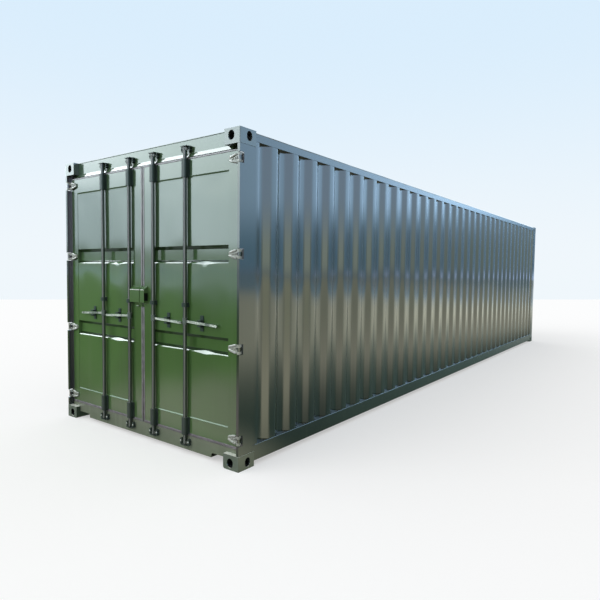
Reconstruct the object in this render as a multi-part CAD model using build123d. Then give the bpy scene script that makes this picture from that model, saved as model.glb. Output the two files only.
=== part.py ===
from build123d import *
import math
import os

os.makedirs("parts", exist_ok=True)

# A steel shipping container. X runs across the width, Y along the length and Z up.
# The doors close the end that faces -Y. The origin is under the middle of the box,
# on the ground. All sizes are in millimetres.

# Overall size over the corner castings
LENGTH = 9754.0
WIDTH = 2438.0
HEIGHT = 2591.0

# Corner castings
CASTING_LENGTH = 178.0
CASTING_WIDTH = 162.0
CASTING_HEIGHT = 118.0
CASTING_FACE_WALL = 28.5
CASTING_OUTER_WALL = 16.0
CASTING_INNER_WALL = 12.0
CASTING_ROUNDING = 8.0
CASTING_FOOT_ROUNDING = 18.0
SLOT_LENGTH = 124.0
SLOT_WIDTH = 63.5
SLOT_FROM_END = 103.5
SLOT_FROM_SIDE = 89.5
SIDE_HOLE_WIDTH = 58.0
END_HOLE_WIDTH = 63.5
HOLE_HEIGHT = 74.0
HOLE_FROM_FACE = 53.0

# Corner posts: a tube, with a channel in front of it at the doors
POST_INSET = 3.0
POST_WIDTH = 44.0
POST_DEPTH = 157.0
POST_WALL = 6.0
CHANNEL_DEPTH = 47.0
CHANNEL_FLANGE = 24.0
CHANNEL_FLANGE_THICKNESS = 8.0
CHANNEL_WEB_THICKNESS = 7.0

# Rails along the box
RAIL_INSET = 4.0
TOP_RAIL_SIZE = 60.0
TOP_RAIL_WALL = 3.0
TOP_RAIL_DROP = 17.0
BOTTOM_RAIL_LOW = 41.0
BOTTOM_RAIL_HEIGHT = 123.0
BOTTOM_RAIL_WALL = 4.5
BOTTOM_RAIL_TOP_FLANGE = 50.0
BOTTOM_RAIL_FOOT = 42.0

# Corrugated steel sheets of the walls
SHEET = 2.0
WALL_INSET = 2.0
SIDE_RIB_DEPTH = 36.0
SIDE_RIB_FLAT = 78.0
SIDE_RIB_SLOPE = 64.0
SIDE_RIB_PITCH = 278.0
SIDE_FIRST_RIB = 366.0
SIDE_EDGE_STRIP = 70.0
SIDE_EDGE_SLOPE = 16.0
FRONT_RIB_DEPTH = 42.0
FRONT_RIB_FLAT = 104.0
FRONT_RIB_SLOPE = 18.0
FRONT_RIB_PITCH = 250.0
FRONT_EDGE_STRIP = 60.0

# Roof sheet with pressed ribs across it
ROOF_RIB_HEIGHT = 9.0
ROOF_RIB_WIDTH = 110.0
ROOF_RIB_SLOPE = 14.0
ROOF_RIB_PITCH = 209.0
ROOF_EDGE = 110.0

# Floor and the beams under it
FLOOR_THICKNESS = 28.0
FLOOR_SIDE_GAP = 3.0
BEAM_PITCH = 300.0
BEAM_FLANGE = 45.0
BEAM_WALL = 4.0

# Header over the doors: a closed section with a sloping lip and a plate over it
HEADER_FACE = 54.0
HEADER_BACK = 150.0
HEADER_LIP = 44.5
HEADER_LIP_HEIGHT = 30.0
HEADER_HEIGHT = 143.0
HEADER_WALL = 4.0
HEADER_PLATE_FRONT = 48.0
HEADER_TOP_DROP = 2.0
HEADER_PLATE = 4.0
HEADER_LIP_FROM_POST = 74.0
HEADER_END_FACE = 80.0

# Sill under the doors
SILL_FACE = 42.0
SILL_LOW = 30.0
SILL_TOP = 152.0
SILL_WALL = 4.5
SILL_BACK = 150.0
SILL_FOOT = 110.0
SILL_NOTCH_START = 880.0
SILL_NOTCH_HEIGHT = 38.0
SILL_NOTCH_CORNER = 14.0

# Door leaves
LEAF_FACE = 43.0
LEAF_THICKNESS = 50.0
LEAF_WALL = 4.0
LEAF_SIDE_GAP = 8.0
LEAF_CENTRE_GAP = 16.0
LEAF_BOTTOM_GAP = 10.0
LEAF_TOP_GAP = 16.0
LEAF_OUTER_STILE = 99.0
LEAF_INNER_STILE = 126.0
LEAF_TOP_RAIL = 134.0
LEAF_BOTTOM_RAIL = 143.0
PANEL_INSET = 2.0
PANEL_RECESS_DEPTH = 30.0
PANEL_RECESS_HEIGHT = 142.0
PANEL_RECESS_SLOPE = 28.0
PANEL_LOWER_RECESS = 562.0
PANEL_UPPER_RECESS = 710.0

# Rubber seal round each leaf
SEAL_FRONT = 4.0
SEAL_DEPTH = 40.0
SEAL_CENTRE_LIP = 3.0
SEAL_SIDE_LIP = 5.0
SEAL_BOTTOM_LIP = 7.0
SEAL_TOP_LIP = 9.0

# Hinges: a forked strap with two knuckles, one on each side of the lug on the post
HINGE_FROM_SIDE = 20.0
HINGE_DEPTH = 19.0
HINGE_FROM_LEAF_LOW = 74.0
HINGE_FROM_LEAF_HIGH = 62.0
HINGE_MIDDLE_SPACING = 720.0
HINGE_PIN_RADIUS = 8.0
HINGE_PIN_CLEARANCE = 0.25
KNUCKLE_RADIUS = 13.5
KNUCKLE_HEIGHT = 20.0
KNUCKLE_CLEARANCE = 0.5
KNUCKLE_ROOM = 5.0
LUG_RADIUS = 12.0
LUG_ARM = 10.0
LUG_HEIGHT = 30.0
STRAP_THICKNESS = 12.0
STRAP_LENGTH = 122.0
STRAP_TIP_HEIGHT = 30.0
STRAP_FORK = 46.0
STRAP_END = 6.0
STRAP_LUG_GAP = 5.0

# Lock bars
BAR_RADIUS = 16.0
BAR_DEPTH = 22.0
BAR_INNER_X = 172.0
BAR_OUTER_X = 587.0
BAR_BELOW_SILL_TOP = 66.0
BAR_OVER_HEADER = 75.0
CAM_RADIUS = 17.5
CAM_REACH = 30.0
CAM_NOSE_RADIUS = 9.0
CAM_HEIGHT = 22.0
CAM_FROM_END = 3.0
ROD_CLEARANCE = 0.3
KEEPER_GAP = 6.0
KEEPER_CHEEK = 20.0
KEEPER_SHELF = 7.0
KEEPER_SHELF_FRONT = 5.0
KEEPER_TOP_FRONT = 28.0
KEEPER_BOTTOM_FRONT = 16.0
KEEPER_TOP_HEIGHT = 48.0
KEEPER_BOTTOM_HEIGHT = 56.0
KEEPER_CUT = 11.0
KEEPER_END_GAP = 5.0

# Guides that hold the lock bars to the leaf
GUIDE_WIDTH = 50.0
GUIDE_FRONT = 1.0
GUIDE_HEIGHT = 143.0
GUIDE_EDGE = 3.0
GUIDE_ROUNDING = 12.0
GUIDE_FOOT_WIDTH = 76.0
GUIDE_FOOT = 4.5
MIDDLE_GUIDE_HEIGHT = 34.0
MIDDLE_GUIDE_FOOT_WIDTH = 54.0
MIDDLE_GUIDE_Z = 1247.0

# Handles and the catches that they lie in
HANDLE_Z = 1112.0
HANDLE_LENGTH = 375.0
HANDLE_DROP = 17.0
HANDLE_HEIGHT = 19.0
HANDLE_THICKNESS = 10.0
HUB_RADIUS = 20.0
HUB_HEIGHT = 54.0
HUB_CLEARANCE = 0.1
CATCH_FROM_BAR = 182.0
CATCH_WIDTH = 36.0
CATCH_HEIGHT = 128.0
CATCH_FOOT = 5.0
CATCH_LUG = 12.0
CATCH_FRONT = 7.0
CATCH_GAP = 7.0

# Box round the padlock, in two halves
LOCK_BOX_LEFT = 142.0
LOCK_BOX_RIGHT = 66.0
LOCK_BOX_FRONT = 4.0
LOCK_BOX_GAP = 8.0
LOCK_BOX_LOW = 1240.0
LOCK_BOX_FACE_HEIGHT = 112.0
LOCK_BOX_SLOPE_HEIGHT = 34.0
LOCK_BOX_WALL = 5.0
STAPLE_X = 58.0
STAPLE_RADIUS = 4.0
STAPLE_DEPTH = 24.0
STAPLE_DROP = 34.0
STAPLE_WIDTH = 30.0

# Places worked out from the sizes above
HALF_LENGTH = LENGTH / 2
HALF_WIDTH = WIDTH / 2
POST_OUTER_X = HALF_WIDTH - POST_INSET
POST_INNER_X = POST_OUTER_X - POST_WIDTH
HEADER_LIP_END = POST_INNER_X - HEADER_LIP_FROM_POST
TUBE_FRONT = POST_INSET + CHANNEL_DEPTH
CASTING_TOP_LOW = HEIGHT - CASTING_HEIGHT
HEADER_LOW = HEIGHT - HEADER_HEIGHT
POST_BACK = POST_INSET + POST_DEPTH
RAIL_OUTER_X = HALF_WIDTH - RAIL_INSET
RAIL_TOP_Z = HEIGHT - TOP_RAIL_DROP
RAIL_UNDER_Z = RAIL_TOP_Z - TOP_RAIL_SIZE
WALL_LOW_Z = BOTTOM_RAIL_LOW + BOTTOM_RAIL_HEIGHT
CASTING_IN_X = HALF_WIDTH - CASTING_WIDTH
LEAF_OUTER_X = POST_INNER_X - LEAF_SIDE_GAP
LEAF_INNER_X = LEAF_CENTRE_GAP / 2
LEAF_LOW = SILL_TOP + LEAF_BOTTOM_GAP
LEAF_HIGH = HEADER_LOW - LEAF_TOP_GAP
LEAF_BACK = LEAF_FACE + LEAF_THICKNESS
PANEL_LEFT = LEAF_INNER_X + LEAF_INNER_STILE
PANEL_RIGHT = LEAF_OUTER_X - LEAF_OUTER_STILE
PANEL_LOW = LEAF_LOW + LEAF_BOTTOM_RAIL
PANEL_HIGH = LEAF_HIGH - LEAF_TOP_RAIL
PANEL_FACE = LEAF_FACE + PANEL_INSET
PANEL_RECESS_LOWS = (PANEL_LOW + PANEL_LOWER_RECESS, PANEL_HIGH - PANEL_UPPER_RECESS)
HINGE_X = HALF_WIDTH - HINGE_FROM_SIDE
LEAF_MIDDLE = (LEAF_LOW + LEAF_HIGH) / 2
HINGE_HEIGHTS = (LEAF_LOW + HINGE_FROM_LEAF_LOW, LEAF_MIDDLE - HINGE_MIDDLE_SPACING / 2,
                 LEAF_MIDDLE + HINGE_MIDDLE_SPACING / 2, LEAF_HIGH - HINGE_FROM_LEAF_HIGH)
KNUCKLE_LOW = LUG_HEIGHT / 2 + KNUCKLE_CLEARANCE
KNUCKLE_HIGH = KNUCKLE_LOW + KNUCKLE_HEIGHT
BAR_LOW = SILL_TOP - BAR_BELOW_SILL_TOP
BAR_HIGH = HEADER_LOW + BAR_OVER_HEADER
CATCH_Z = HANDLE_Z - HANDLE_DROP * CATCH_FROM_BAR / HANDLE_LENGTH


def door_y(depth):
    """Y of a point that lies `depth` behind the outer faces of the door end castings."""
    return depth - HALF_LENGTH


def block(x_range, y_range, z_range):
    """A box between the two values given along each axis."""
    ranges = (x_range, y_range, z_range)
    size = [high - low for low, high in ranges]
    middle = [(high + low) / 2 for low, high in ranges]
    return Pos(*middle) * Box(*size)


def across(points, x_range):
    """A prism along X over an outline of (y, z) points."""
    low, high = x_range
    face = make_face(Polyline(*points, close=True))
    return Pos(low, 0, 0) * extrude(Plane.YZ * face, high - low)


def along(points, y_range):
    """A prism along Y over an outline of (x, z) points."""
    low, high = y_range
    face = make_face(Polyline(*points, close=True))
    return Pos(0, high, 0) * extrude(Plane.XZ * face, high - low)


def upright(points, z_range):
    """A prism along Z over an outline of (x, y) points."""
    low, high = z_range
    face = make_face(Polyline(*points, close=True))
    return Pos(0, 0, low) * extrude(face, high - low)


def rod(x, y, radius, z_range):
    """An upright cylinder."""
    low, high = z_range
    return Pos(x, y, (low + high) / 2) * Cylinder(radius, high - low)


def bent_sheet(points, thickness):
    """Outline of a bent sheet: the given edge, and the same edge moved to its left."""
    steps = [(b[0] - a[0], b[1] - a[1]) for a, b in zip(points, points[1:])]
    normals = [(-dy / math.hypot(dx, dy), dx / math.hypot(dx, dy)) for dx, dy in steps]
    before = [normals[0]] + normals
    after = normals + [normals[-1]]
    moved = []
    for (x, y), n, m in zip(points, before, after):
        scale = thickness / (1 + n[0] * m[0] + n[1] * m[1])
        moved.append((x + (n[0] + m[0]) * scale, y + (n[1] + m[1]) * scale))
    return list(points) + moved[::-1]


def left_of(shape):
    """The mirror image on the other side of the box."""
    return mirror(shape, about=Plane.YZ)


def joined(shapes):
    """All the shapes as one node."""
    return Compound(children=[solid for shape in shapes for solid in shape.solids()])


def write(shape, name):
    export_step(shape, f"parts/{name}.step")


def casting_blocks():
    """The eight places that the corner castings take up."""
    x_ranges = ((CASTING_IN_X, HALF_WIDTH), (-HALF_WIDTH, -CASTING_IN_X))
    y_ranges = ((HALF_LENGTH - CASTING_LENGTH, HALF_LENGTH), (-HALF_LENGTH, CASTING_LENGTH - HALF_LENGTH))
    z_ranges = ((0, CASTING_HEIGHT), (HEIGHT - CASTING_HEIGHT, HEIGHT))
    return [block(x, y, z) for x in x_ranges for y in y_ranges for z in z_ranges]


def corner_casting(inner_rounding=None):
    """The casting of the right, rear, top corner: a hollow block with three holes."""
    x_range = (CASTING_IN_X, HALF_WIDTH)
    y_range = (HALF_LENGTH - CASTING_LENGTH, HALF_LENGTH)
    z_range = (HEIGHT - CASTING_HEIGHT, HEIGHT)
    body = block(x_range, y_range, z_range)
    outer = [e for e in body.edges().filter_by(Axis.Z)
             if e.center().X > CASTING_IN_X + 1 and e.center().Y > HALF_LENGTH - 1]
    body = fillet(outer, CASTING_ROUNDING)
    if inner_rounding:
        inner = [e for e in body.edges().filter_by(Axis.Y)
                 if e.center().X < CASTING_IN_X + 1 and e.center().Z > HEIGHT - 1]
        body = fillet(inner, inner_rounding)
    pocket = block(
        (x_range[0] + CASTING_INNER_WALL, x_range[1] - CASTING_OUTER_WALL),
        (y_range[0] + CASTING_INNER_WALL, y_range[1] - CASTING_OUTER_WALL),
        (z_range[0] + CASTING_INNER_WALL, z_range[1] - CASTING_FACE_WALL))
    hole_z = HEIGHT - HOLE_FROM_FACE
    slot_x = HALF_WIDTH - SLOT_FROM_SIDE
    slot_y = HALF_LENGTH - SLOT_FROM_END
    slot = Pos(slot_x, slot_y, HEIGHT) * Rot(0, 0, 90) * SlotOverall(SLOT_LENGTH, SLOT_WIDTH)
    slot = extrude(slot, CASTING_FACE_WALL, both=True)
    side = Plane((HALF_WIDTH, slot_y, hole_z), x_dir=(0, 0, 1), z_dir=(1, 0, 0))
    side = extrude(side * SlotOverall(HOLE_HEIGHT, SIDE_HOLE_WIDTH), CASTING_OUTER_WALL, both=True)
    end = Plane((slot_x, HALF_LENGTH, hole_z), x_dir=(0, 0, 1), z_dir=(0, 1, 0))
    end = extrude(end * SlotOverall(HOLE_HEIGHT, END_HOLE_WIDTH), CASTING_OUTER_WALL, both=True)
    return body - [pocket, slot, side, end]


def write_castings():
    half_height = Plane((0, 0, HEIGHT / 2), z_dir=(0, 0, 1))
    foot = mirror(corner_casting(CASTING_FOOT_ROUNDING), about=half_height)
    for level, high in (("top", corner_casting()), ("bottom", foot)):
        for end, placed in (("rear", high), ("door", mirror(high, about=Plane.XZ))):
            write(placed, f"{end}_{level}_casting_right")
            write(left_of(placed), f"{end}_{level}_casting_left")


def post_tube(front_depth):
    """The closed tube of a corner post at the door end, on the right side."""
    y_range = (door_y(front_depth), door_y(POST_BACK))
    z_range = (CASTING_HEIGHT, HEIGHT - CASTING_HEIGHT)
    tube = block((POST_INNER_X, POST_OUTER_X), y_range, z_range)
    bore = block(
        (POST_INNER_X + POST_WALL, POST_OUTER_X - POST_WALL),
        (y_range[0] + POST_WALL, y_range[1] - POST_WALL), z_range)
    return tube - bore


def rear_post():
    return mirror(post_tube(POST_INSET), about=Plane.XZ)


def door_post():
    """Door end post: the tube, the channel in front of it, and the lugs of the hinges."""
    z_range = (CASTING_HEIGHT, HEIGHT - CASTING_HEIGHT)
    web = block((POST_OUTER_X - CHANNEL_WEB_THICKNESS, POST_OUTER_X),
                (door_y(POST_INSET), door_y(TUBE_FRONT)), z_range)
    flange = block((POST_OUTER_X - CHANNEL_FLANGE, POST_OUTER_X),
                   (door_y(POST_INSET), door_y(POST_INSET + CHANNEL_FLANGE_THICKNESS)), z_range)
    post = post_tube(TUBE_FRONT) + web + flange
    y = door_y(HINGE_DEPTH)
    room = KNUCKLE_HIGH + KNUCKLE_ROOM
    notches = []
    lugs = []
    bores = []
    for z in HINGE_HEIGHTS:
        lug_range = (z - LUG_HEIGHT / 2, z + LUG_HEIGHT / 2)
        notches.append(block((POST_OUTER_X - CHANNEL_FLANGE, POST_OUTER_X),
                             (door_y(POST_INSET), door_y(TUBE_FRONT)), (z - room, z + room)))
        lugs.append(rod(HINGE_X, y, LUG_RADIUS, lug_range))
        lugs.append(block((HINGE_X - LUG_RADIUS, HINGE_X - LUG_RADIUS + LUG_ARM), (y, door_y(TUBE_FRONT)),
                          lug_range))
        bores.append(rod(HINGE_X, y, HINGE_PIN_RADIUS + HINGE_PIN_CLEARANCE, lug_range))
    return (post - notches + lugs) - bores


def top_side_rail():
    """Square tube along the top of the right side."""
    y_range = (CASTING_LENGTH - HALF_LENGTH, HALF_LENGTH - CASTING_LENGTH)
    x_range = (RAIL_OUTER_X - TOP_RAIL_SIZE, RAIL_OUTER_X)
    tube = block(x_range, y_range, (RAIL_UNDER_Z, RAIL_TOP_Z))
    bore = block((x_range[0] + TOP_RAIL_WALL, x_range[1] - TOP_RAIL_WALL), y_range,
                 (RAIL_UNDER_Z + TOP_RAIL_WALL, RAIL_TOP_Z - TOP_RAIL_WALL))
    return tube - bore


def channel_outline(outer):
    """Channel with its web at `outer`, its flanges pointing to the middle of the box."""
    low = BOTTOM_RAIL_LOW
    high = WALL_LOW_Z
    wall = BOTTOM_RAIL_WALL
    return [(outer, low), (outer, high), (outer - BOTTOM_RAIL_TOP_FLANGE, high),
            (outer - BOTTOM_RAIL_TOP_FLANGE, high - wall), (outer - wall, high - wall),
            (outer - wall, low + wall), (outer - BOTTOM_RAIL_FOOT, low + wall),
            (outer - BOTTOM_RAIL_FOOT, low)]


def bottom_side_rail():
    """Channel along the bottom of the right side."""
    rail = along(channel_outline(RAIL_OUTER_X), (door_y(POST_BACK), HALF_LENGTH - POST_BACK))
    return rail - casting_blocks()


def rear_sill():
    """Channel across the foot of the rear wall."""
    sill = across(channel_outline(HALF_LENGTH - RAIL_INSET), (-POST_INNER_X, POST_INNER_X))
    return sill - casting_blocks()


def rear_header():
    """Square tube across the top of the rear wall."""
    y_range = (HALF_LENGTH - RAIL_INSET - TOP_RAIL_SIZE, HALF_LENGTH - RAIL_INSET)
    tube = block((-CASTING_IN_X, CASTING_IN_X), y_range, (RAIL_UNDER_Z, RAIL_TOP_Z))
    bore = block((-CASTING_IN_X, CASTING_IN_X), (y_range[0] + TOP_RAIL_WALL, y_range[1] - TOP_RAIL_WALL),
                 (RAIL_UNDER_Z + TOP_RAIL_WALL, RAIL_TOP_Z - TOP_RAIL_WALL))
    return tube - bore


def side_wall():
    """Corrugated sheet of the right side, from post to post."""
    outer = RAIL_OUTER_X - WALL_INSET
    inner = outer - SIDE_RIB_DEPTH
    start = door_y(POST_BACK)
    first = door_y(SIDE_FIRST_RIB)
    span = LENGTH - 2 * SIDE_FIRST_RIB - SIDE_RIB_FLAT
    steps = round(span / SIDE_RIB_PITCH)
    pitch = span / steps
    half = [(outer, start), (outer, start + SIDE_EDGE_STRIP),
            (inner, start + SIDE_EDGE_STRIP + SIDE_EDGE_SLOPE), (inner, first - SIDE_RIB_SLOPE)]
    ribs = []
    for i in range(steps + 1):
        y = first + i * pitch
        if i > 0:
            ribs.append((inner, y - SIDE_RIB_SLOPE))
        ribs.append((outer, y))
        ribs.append((outer, y + SIDE_RIB_FLAT))
        if i < steps:
            ribs.append((inner, y + SIDE_RIB_FLAT + SIDE_RIB_SLOPE))
    edge = half + ribs + [(x, -y) for x, y in half[::-1]]
    sheet = upright(bent_sheet(edge, SHEET), (WALL_LOW_Z, RAIL_UNDER_Z))
    return sheet - casting_blocks()


def rear_wall():
    """Corrugated sheet across the rear end, from post to post."""
    outer = HALF_LENGTH - RAIL_INSET - WALL_INSET
    inner = outer - FRONT_RIB_DEPTH
    start = FRONT_EDGE_STRIP - POST_INNER_X
    span = -2 * start - 2 * FRONT_RIB_SLOPE - FRONT_RIB_FLAT
    steps = round(span / FRONT_RIB_PITCH)
    pitch = span / steps
    edge = [(-POST_INNER_X, outer), (start, outer)]
    for i in range(steps + 1):
        x = start + FRONT_RIB_SLOPE + i * pitch
        edge.append((x, inner))
        edge.append((x + FRONT_RIB_FLAT, inner))
        if i < steps:
            edge.append((x + FRONT_RIB_FLAT + FRONT_RIB_SLOPE, outer))
            edge.append((x + pitch - FRONT_RIB_SLOPE, outer))
    edge += [(-start, outer), (POST_INNER_X, outer)]
    sheet = upright(bent_sheet(edge[::-1], SHEET), (WALL_LOW_Z, RAIL_UNDER_Z))
    return sheet - casting_blocks()


def roof_sheet():
    """Flat sheet on the top rails, with shallow ribs pressed up across it."""
    y_low = door_y(HEADER_BACK)
    y_high = HALF_LENGTH - RAIL_INSET
    sheet = block((-RAIL_OUTER_X, RAIL_OUTER_X), (y_low, y_high), (RAIL_TOP_Z, RAIL_TOP_Z + SHEET))
    sheet -= casting_blocks()
    rib_length = 2 * (CASTING_IN_X - ROOF_EDGE / 2)
    span = y_high - y_low - 2 * ROOF_EDGE - ROOF_RIB_WIDTH
    steps = round(span / ROOF_RIB_PITCH)
    taper = math.degrees(math.atan2(ROOF_RIB_SLOPE, ROOF_RIB_HEIGHT))
    outsides = []
    insides = []
    for i in range(steps + 1):
        y = y_low + ROOF_EDGE + ROOF_RIB_WIDTH / 2 + i * span / steps
        outside = extrude(Rectangle(rib_length, ROOF_RIB_WIDTH), ROOF_RIB_HEIGHT, taper=taper)
        inside = extrude(Rectangle(rib_length - SHEET, ROOF_RIB_WIDTH - SHEET), ROOF_RIB_HEIGHT,
                         taper=taper)
        outsides.append(Pos(0, y, RAIL_TOP_Z + SHEET) * outside)
        insides.append(Pos(0, y, RAIL_TOP_Z) * inside)
    return sheet + outsides - insides


def floor_boards():
    """Boards from the door sill to the rear sill."""
    half = RAIL_OUTER_X - BOTTOM_RAIL_TOP_FLANGE - FLOOR_SIDE_GAP
    y_range = (door_y(SILL_BACK), HALF_LENGTH - RAIL_INSET - BOTTOM_RAIL_TOP_FLANGE - FLOOR_SIDE_GAP)
    return block((-half, half), y_range, (SILL_TOP - FLOOR_THICKNESS, SILL_TOP))


def floor_beams():
    """Channels across the box that carry the floor."""
    half = RAIL_OUTER_X - BOTTOM_RAIL_WALL
    low = BOTTOM_RAIL_LOW + BOTTOM_RAIL_WALL
    high = SILL_TOP - FLOOR_THICKNESS
    first = door_y(CASTING_LENGTH + BEAM_FLANGE)
    span = LENGTH - 2 * (CASTING_LENGTH + BEAM_FLANGE) - BEAM_FLANGE
    steps = round(span / BEAM_PITCH)
    beams = []
    for i in range(steps + 1):
        y = first + i * span / steps
        outline = [(y, low), (y + BEAM_FLANGE, low), (y + BEAM_FLANGE, low + BEAM_WALL),
                   (y + BEAM_WALL, low + BEAM_WALL), (y + BEAM_WALL, high - BEAM_WALL),
                   (y + BEAM_FLANGE, high - BEAM_WALL), (y + BEAM_FLANGE, high), (y, high)]
        beams.append(across(outline, (-half, half)))
    return joined(beams)


def door_header():
    """Closed section over the doors, with a lip that slopes out below its face."""
    top = HEIGHT - HEADER_TOP_DROP
    plate_low = top - HEADER_PLATE
    lip_top = HEADER_LOW + HEADER_LIP_HEIGHT
    outline = [(HEADER_PLATE_FRONT, top), (HEADER_PLATE_FRONT, plate_low), (HEADER_FACE, plate_low),
               (HEADER_FACE, lip_top), (HEADER_LIP, HEADER_LOW), (HEADER_BACK, HEADER_LOW),
               (HEADER_BACK, top)]
    slope = math.hypot(HEADER_FACE - HEADER_LIP, HEADER_LIP_HEIGHT)
    shift = HEADER_WALL * slope / HEADER_LIP_HEIGHT
    run = (HEADER_FACE - HEADER_LIP) / HEADER_LIP_HEIGHT
    bore = [(HEADER_FACE + HEADER_WALL, plate_low),
            (HEADER_FACE + HEADER_WALL, lip_top - (shift - HEADER_WALL) / run),
            (HEADER_LIP + shift + HEADER_WALL * run, HEADER_LOW + HEADER_WALL),
            (HEADER_BACK - HEADER_WALL, HEADER_LOW + HEADER_WALL), (HEADER_BACK - HEADER_WALL, plate_low)]
    bore_end = HEADER_LIP_END - HEADER_WALL
    beam = across([(door_y(d), z) for d, z in outline], (-HEADER_LIP_END, HEADER_LIP_END))
    beam -= across([(door_y(d), z) for d, z in bore], (-bore_end, bore_end))
    stub = block((HEADER_LIP_END, POST_INNER_X), (door_y(HEADER_END_FACE), door_y(HEADER_BACK)),
                 (HEADER_LOW, CASTING_TOP_LOW))
    stub -= block((HEADER_LIP_END, POST_INNER_X),
                  (door_y(HEADER_END_FACE + HEADER_WALL), door_y(HEADER_BACK - HEADER_WALL)),
                  (HEADER_LOW + HEADER_WALL, CASTING_TOP_LOW))
    return beam - casting_blocks() + stub + left_of(stub)


def door_sill():
    """Channel under the doors, notched on its lower edge beside the castings."""
    outline = [(SILL_FACE, SILL_LOW), (SILL_FACE, SILL_TOP), (SILL_BACK, SILL_TOP),
               (SILL_BACK, SILL_TOP - SILL_WALL), (SILL_FACE + SILL_WALL, SILL_TOP - SILL_WALL),
               (SILL_FACE + SILL_WALL, SILL_LOW + SILL_WALL), (SILL_FOOT, SILL_LOW + SILL_WALL),
               (SILL_FOOT, SILL_LOW)]
    sill = across([(door_y(d), z) for d, z in outline], (-POST_INNER_X, POST_INNER_X))
    high = SILL_LOW + SILL_NOTCH_HEIGHT
    notch = along([(SILL_NOTCH_START, SILL_LOW), (SILL_NOTCH_START, high - SILL_NOTCH_CORNER),
                   (SILL_NOTCH_START + SILL_NOTCH_CORNER, high), (POST_INNER_X, high),
                   (POST_INNER_X, SILL_LOW)], (door_y(SILL_FACE), door_y(SILL_BACK)))
    return sill - casting_blocks() - [notch, left_of(notch)]


def leaf_frame():
    """Frame of the right leaf: channels with their open side towards the cargo."""
    y_range = (door_y(LEAF_FACE), door_y(LEAF_BACK))
    frame = block((LEAF_INNER_X, LEAF_OUTER_X), y_range, (LEAF_LOW, LEAF_HIGH))
    window = block((PANEL_LEFT, PANEL_RIGHT), y_range, (PANEL_LOW, PANEL_HIGH))
    back = (door_y(LEAF_FACE + LEAF_WALL), door_y(LEAF_BACK))
    hollow = block((LEAF_INNER_X + LEAF_WALL, LEAF_OUTER_X - LEAF_WALL), back,
                   (LEAF_LOW + LEAF_WALL, LEAF_HIGH - LEAF_WALL))
    hollow -= block((PANEL_LEFT - LEAF_WALL, PANEL_RIGHT + LEAF_WALL), back,
                    (PANEL_LOW - LEAF_WALL, PANEL_HIGH + LEAF_WALL))
    return frame - window - hollow


def leaf_panel():
    """Sheet of the right leaf, with two recesses across it."""
    face = door_y(PANEL_FACE)
    deep = face + PANEL_RECESS_DEPTH
    edge = [(face, PANEL_LOW)]
    for low in PANEL_RECESS_LOWS:
        edge += [(face, low), (deep, low + PANEL_RECESS_SLOPE),
                 (deep, low + PANEL_RECESS_HEIGHT - PANEL_RECESS_SLOPE), (face, low + PANEL_RECESS_HEIGHT)]
    edge.append((face, PANEL_HIGH))
    return across(bent_sheet(edge[::-1], SHEET), (PANEL_LEFT, PANEL_RIGHT))


def leaf_seal():
    """Rubber seal round the edges of the right leaf."""
    front = door_y(LEAF_FACE + SEAL_FRONT)
    y_range = (front, front + SEAL_DEPTH)
    ring = block((LEAF_INNER_X - SEAL_CENTRE_LIP, LEAF_OUTER_X + SEAL_SIDE_LIP), y_range,
                 (LEAF_LOW - SEAL_BOTTOM_LIP, LEAF_HIGH + SEAL_TOP_LIP))
    return ring - block((LEAF_INNER_X, LEAF_OUTER_X), y_range, (LEAF_LOW, LEAF_HIGH))


def leaf_hinges():
    """Four forked straps on the right leaf, each with its two knuckles and its pin."""
    y = door_y(HINGE_DEPTH)
    root_y = door_y(LEAF_FACE)
    front_y = door_y(LEAF_FACE - STRAP_THICKNESS)
    end_x = HINGE_X + STRAP_END
    tip_x = HINGE_X - STRAP_LENGTH
    tip = STRAP_TIP_HEIGHT / 2
    fork = LUG_HEIGHT / 2 + STRAP_LUG_GAP
    throat_x = HINGE_X - LUG_RADIUS - STRAP_LUG_GAP
    straps = []
    for z in HINGE_HEIGHTS:
        strap = along([(tip_x, z - tip), (LEAF_OUTER_X, z - KNUCKLE_HIGH), (end_x, z - KNUCKLE_HIGH),
                       (end_x, z + KNUCKLE_HIGH), (LEAF_OUTER_X, z + KNUCKLE_HIGH), (tip_x, z + tip)],
                      (front_y, root_y))
        strap -= along([(HINGE_X - STRAP_FORK, z), (throat_x, z - fork), (end_x, z - fork),
                        (end_x, z + fork), (throat_x, z + fork)], (front_y, root_y))
        for side in (-1, 1):
            web = sorted((z + side * fork, z + side * KNUCKLE_HIGH))
            knuckle = sorted((z + side * KNUCKLE_LOW, z + side * KNUCKLE_HIGH))
            strap += block((HINGE_X - KNUCKLE_RADIUS, end_x), (y, root_y), web)
            strap += rod(HINGE_X, y, KNUCKLE_RADIUS, knuckle)
        strap += rod(HINGE_X, y, HINGE_PIN_RADIUS, (z - KNUCKLE_HIGH, z + KNUCKLE_HIGH))
        straps.append(strap)
    return joined(straps)


def bar_guide(x, z_range, seat_depth, foot_width):
    """Block round a lock bar, on a foot that lies on the leaf."""
    half = GUIDE_WIDTH / 2
    body = block((x - half, x + half), (door_y(GUIDE_FRONT), door_y(seat_depth)), z_range)
    edges = [e for e in body.edges().filter_by(Axis.Z) if e.center().Y < door_y(BAR_DEPTH)]
    body = fillet(edges, GUIDE_ROUNDING)
    foot_half = foot_width / 2
    foot = block((x - foot_half, x + foot_half), (door_y(seat_depth - GUIDE_FOOT), door_y(seat_depth)),
                 z_range)
    return body + foot - rod(x, door_y(BAR_DEPTH), BAR_RADIUS + ROD_CLEARANCE, z_range)


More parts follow.
